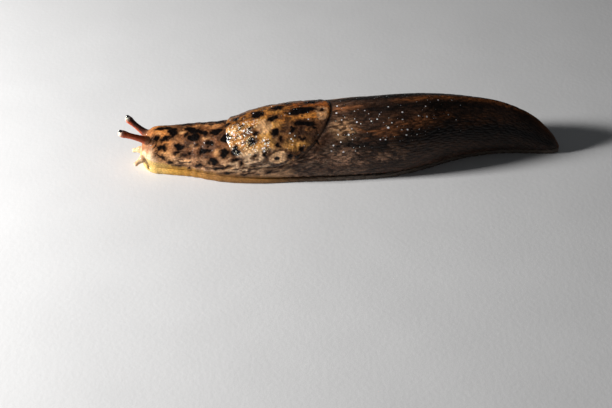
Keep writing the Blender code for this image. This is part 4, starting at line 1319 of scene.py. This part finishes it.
def skin_material():
    """Wet, mottled skin: colours from the fields, black spots with soft ragged edges, painted shade between
    the tubercles, painted glints, and fine grain.
    """
    n = Nodes("slug_skin")
    wet_and_glints = n.attribute("wet_and_glints")
    fine = n.noise(2600.0, 3.0, 0.6)
    broad = n.noise(700.0, 3.0, 0.6)

    # The tint, mottled a little and with painted shade between the tubercles, with the black spots over it
    light = n.spread(fine, 0.25, 0.75, 0.8, 1.18, soft=False)
    light = n.maths("MULTIPLY", light, n.spread(broad, 0.3, 0.7, 0.88, 1.12, soft=False))
    shade = n.maths("MULTIPLY", light, n.spread(n.attribute("groove_shade"), 0, 0.7, 0.8, 1.04))
    grey = n.node("CombineColor", Red=shade, Green=shade, Blue=shade)
    colour = n.blend(1.0, n.attribute("tint", "Color"), grey.outputs[0], "MULTIPLY")
    ragged = n.maths("ADD", n.attribute("blotch"), n.spread(fine, 0.2, 0.8, -0.14, 0.14, soft=False))
    colour = n.blend(n.spread(ragged, -0.9, 0.02, 0, 0.82), colour, SPOT_HALO)
    black = n.spread(ragged, -0.27, 0.16, 0, 0.993)
    colour = n.blend(black, colour, SPOT_BLACK)

    # Painted highlights: a white glint on each bead of slime, and the gold and white gleam of the mantle's
    # front
    small = n.maths("MULTIPLY", n.glint_drops(1500.0, 0.26, 0.5), 0.6)
    glint_drop = n.maths("MAXIMUM", n.glint_drops(900.0, 0.25, 0.35), small)
    glint_drop = n.maths("MULTIPLY", glint_drop, n.spread(n.attribute("glint_beads"), 0.4, 0.8))
    glint_drop = n.maths("MAXIMUM", glint_drop, n.attribute("glint_drops"))
    glint_pearl = n.maths("MAXIMUM", n.glint_drops(2000.0, 0.46, 0.45), n.glint_drops(3300.0, 0.55, 0.55))
    glint_pearl = n.maths("MULTIPLY", glint_pearl, n.spread(wet_and_glints, 0.35, 0.9))
    glint_pearl = n.maths("MULTIPLY", glint_pearl, n.spread(black, 0, 1, 1, 0.55))
    gleam = n.blend(n.spread(broad, 0.42, 0.56), GLEAM_GOLD, GLEAM_WHITE)
    colour = n.blend(n.spread(glint_pearl, 0.2, 0.55), colour, gleam)
    colour = n.blend(n.maths("MULTIPLY", n.spread(glint_drop, 0.2, 0.6), 0.9), colour, GLINT_WHITE)

    # Fine grain, fainter on the foot, and the wet film over it
    grain = n.maths("ADD", n.maths("MULTIPLY", fine, 0.6), n.granules(2900.0))
    grain = n.maths("MULTIPLY", grain, n.spread(n.attribute("plain"), 0, 1, 1, 0.12))
    normal = n.bump(grain, 0.000055, 0.8)
    film_height = n.maths("ADD", glint_drop, n.maths("MULTIPLY", glint_pearl, 0.35))
    return n.shaded({
        "Base Color": colour,
        "Roughness": n.spread(broad, 0.3, 0.7, 0.45, 0.62, soft=False),
        "Specular IOR Level": n.spread(black, 0, 1, 0.2, 0.03),
        "IOR": 1.4,
        "Subsurface Weight": n.spread(n.attribute("clear"), 0, 1, 0.16, 0.45),
        "Subsurface Radius": (1.0, 0.45, 0.2),
        "Subsurface Scale": 0.001,
        "Normal": normal,
        "Coat Weight": n.maths("MAXIMUM", n.spread(wet_and_glints, 0, 1, 0.1, 1), glint_drop),
        "Coat Roughness": 0.06,
        "Coat IOR": 1.6,
        "Coat Normal": n.bump(film_height, 0.00014, Normal=normal),
    })


def eye_material():
    """Gloss black, with a trace of brown deep in it."""
    n = Nodes("slug_eye")
    return n.shaded({
        "Base Color": n.blend(n.noise(2500.0), EYE_BLACK, EYE_BROWN),
        "Roughness": n.spread(n.noise(3000.0), 0.3, 0.7, 0.08, 0.16),
        "Normal": n.bump(n.noise(2000.0), 0.00001, 0.3),
        "Coat Weight": 0.6,
        "Coat Roughness": 0.05,
    })


def floor_material():
    """A plain pale floor with the faintest grain."""
    n = Nodes("floor")
    return n.shaded({
        "Base Color": n.blend(n.noise(60.0, 4.0), FLOOR_GREY, FLOOR_PALE),
        "Roughness": 0.7,
        "Normal": n.bump(n.noise(900.0, 4.0), 0.00008, 0.4),
    })


def build_eye(name, centre):
    """A small round lens, a little flattened where it looks out."""
    shape = bmesh.new()
    bmesh.ops.create_icosphere(shape, subdivisions=4, radius=EYE_RADIUS)
    for vertex in shape.verts:
        vertex.co.z *= EYE_FLATNESS
        vertex.co += centre
    mesh = bpy.data.meshes.new(name)
    shape.to_mesh(mesh)
    shape.free()
    shade_smooth(mesh)
    return linked(name, mesh)


def area_light(name, place, size, watts, colour):
    """A soft square lamp that looks at the middle of the floor."""
    lamp = bpy.data.lights.new(name, "AREA")
    lamp.size = size
    lamp.energy = watts
    lamp.color = colour
    item = linked(name, lamp)
    item.location = place
    item.rotation_euler = (-Vector(place)).to_track_quat("-Z", "Y").to_euler()


def studio():
    """Floor, lamps and camera."""
    corners = [(-FLOOR_HALF, -FLOOR_HALF, 0), (FLOOR_HALF, -FLOOR_HALF, 0),
               (FLOOR_HALF, FLOOR_HALF, 0), (-FLOOR_HALF, FLOOR_HALF, 0)]
    floor = mesh_of("floor", corners, [(0, 1, 2, 3)])
    floor.data.materials.append(floor_material())
    area_light("key", (-0.34, -0.06, 0.145), 0.06, 2.6, (1.0, 0.99, 0.975))
    area_light("fill", (0.25, -0.45, 0.4), 0.5, 0.06, (0.95, 0.97, 1.0))
    world = bpy.data.worlds.new("studio")
    world.use_nodes = True
    background = world.node_tree.nodes["Background"]
    background.inputs["Color"].default_value = SKY
    background.inputs["Strength"].default_value = 0.05
    bpy.context.scene.world = world
    lens = bpy.data.cameras.new("camera")
    lens.lens = LENS_MM
    lens.sensor_width = SENSOR_MM
    lens.clip_start = 0.005
    camera = linked("camera", lens)
    back, up = -math.cos(CAMERA_TILT), math.sin(CAMERA_TILT)
    camera.location = CAMERA_TARGET + Vector((0, back, up)) * CAMERA_AWAY
    camera.rotation_euler = (math.pi / 2 - CAMERA_TILT, 0, 0)
    bpy.context.scene.camera = camera
    bpy.context.scene.view_settings.view_transform = "Standard"


skin_piece, eye_places = build_skin()
skin_piece.data.materials.clear()
skin_piece.data.materials.append(skin_material())
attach(skin_piece, "root")
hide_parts("head", "neck", "mantle", "trunk_front", "trunk_mid", "trunk_rear", "tail",
            "foot_front", "foot_mid", "foot_rear", "lips", "upper_tentacle_left", "upper_tentacle_right",
            "lower_tentacle_left", "lower_tentacle_right")
gloss = eye_material()
for side_name, eye_centre in zip(("left", "right"), eye_places):
    eye_piece = build_eye("slug_eye_" + side_name, eye_centre)
    eye_piece.data.materials.append(gloss)
    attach(eye_piece, "root")
    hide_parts("eye_" + side_name)
studio()
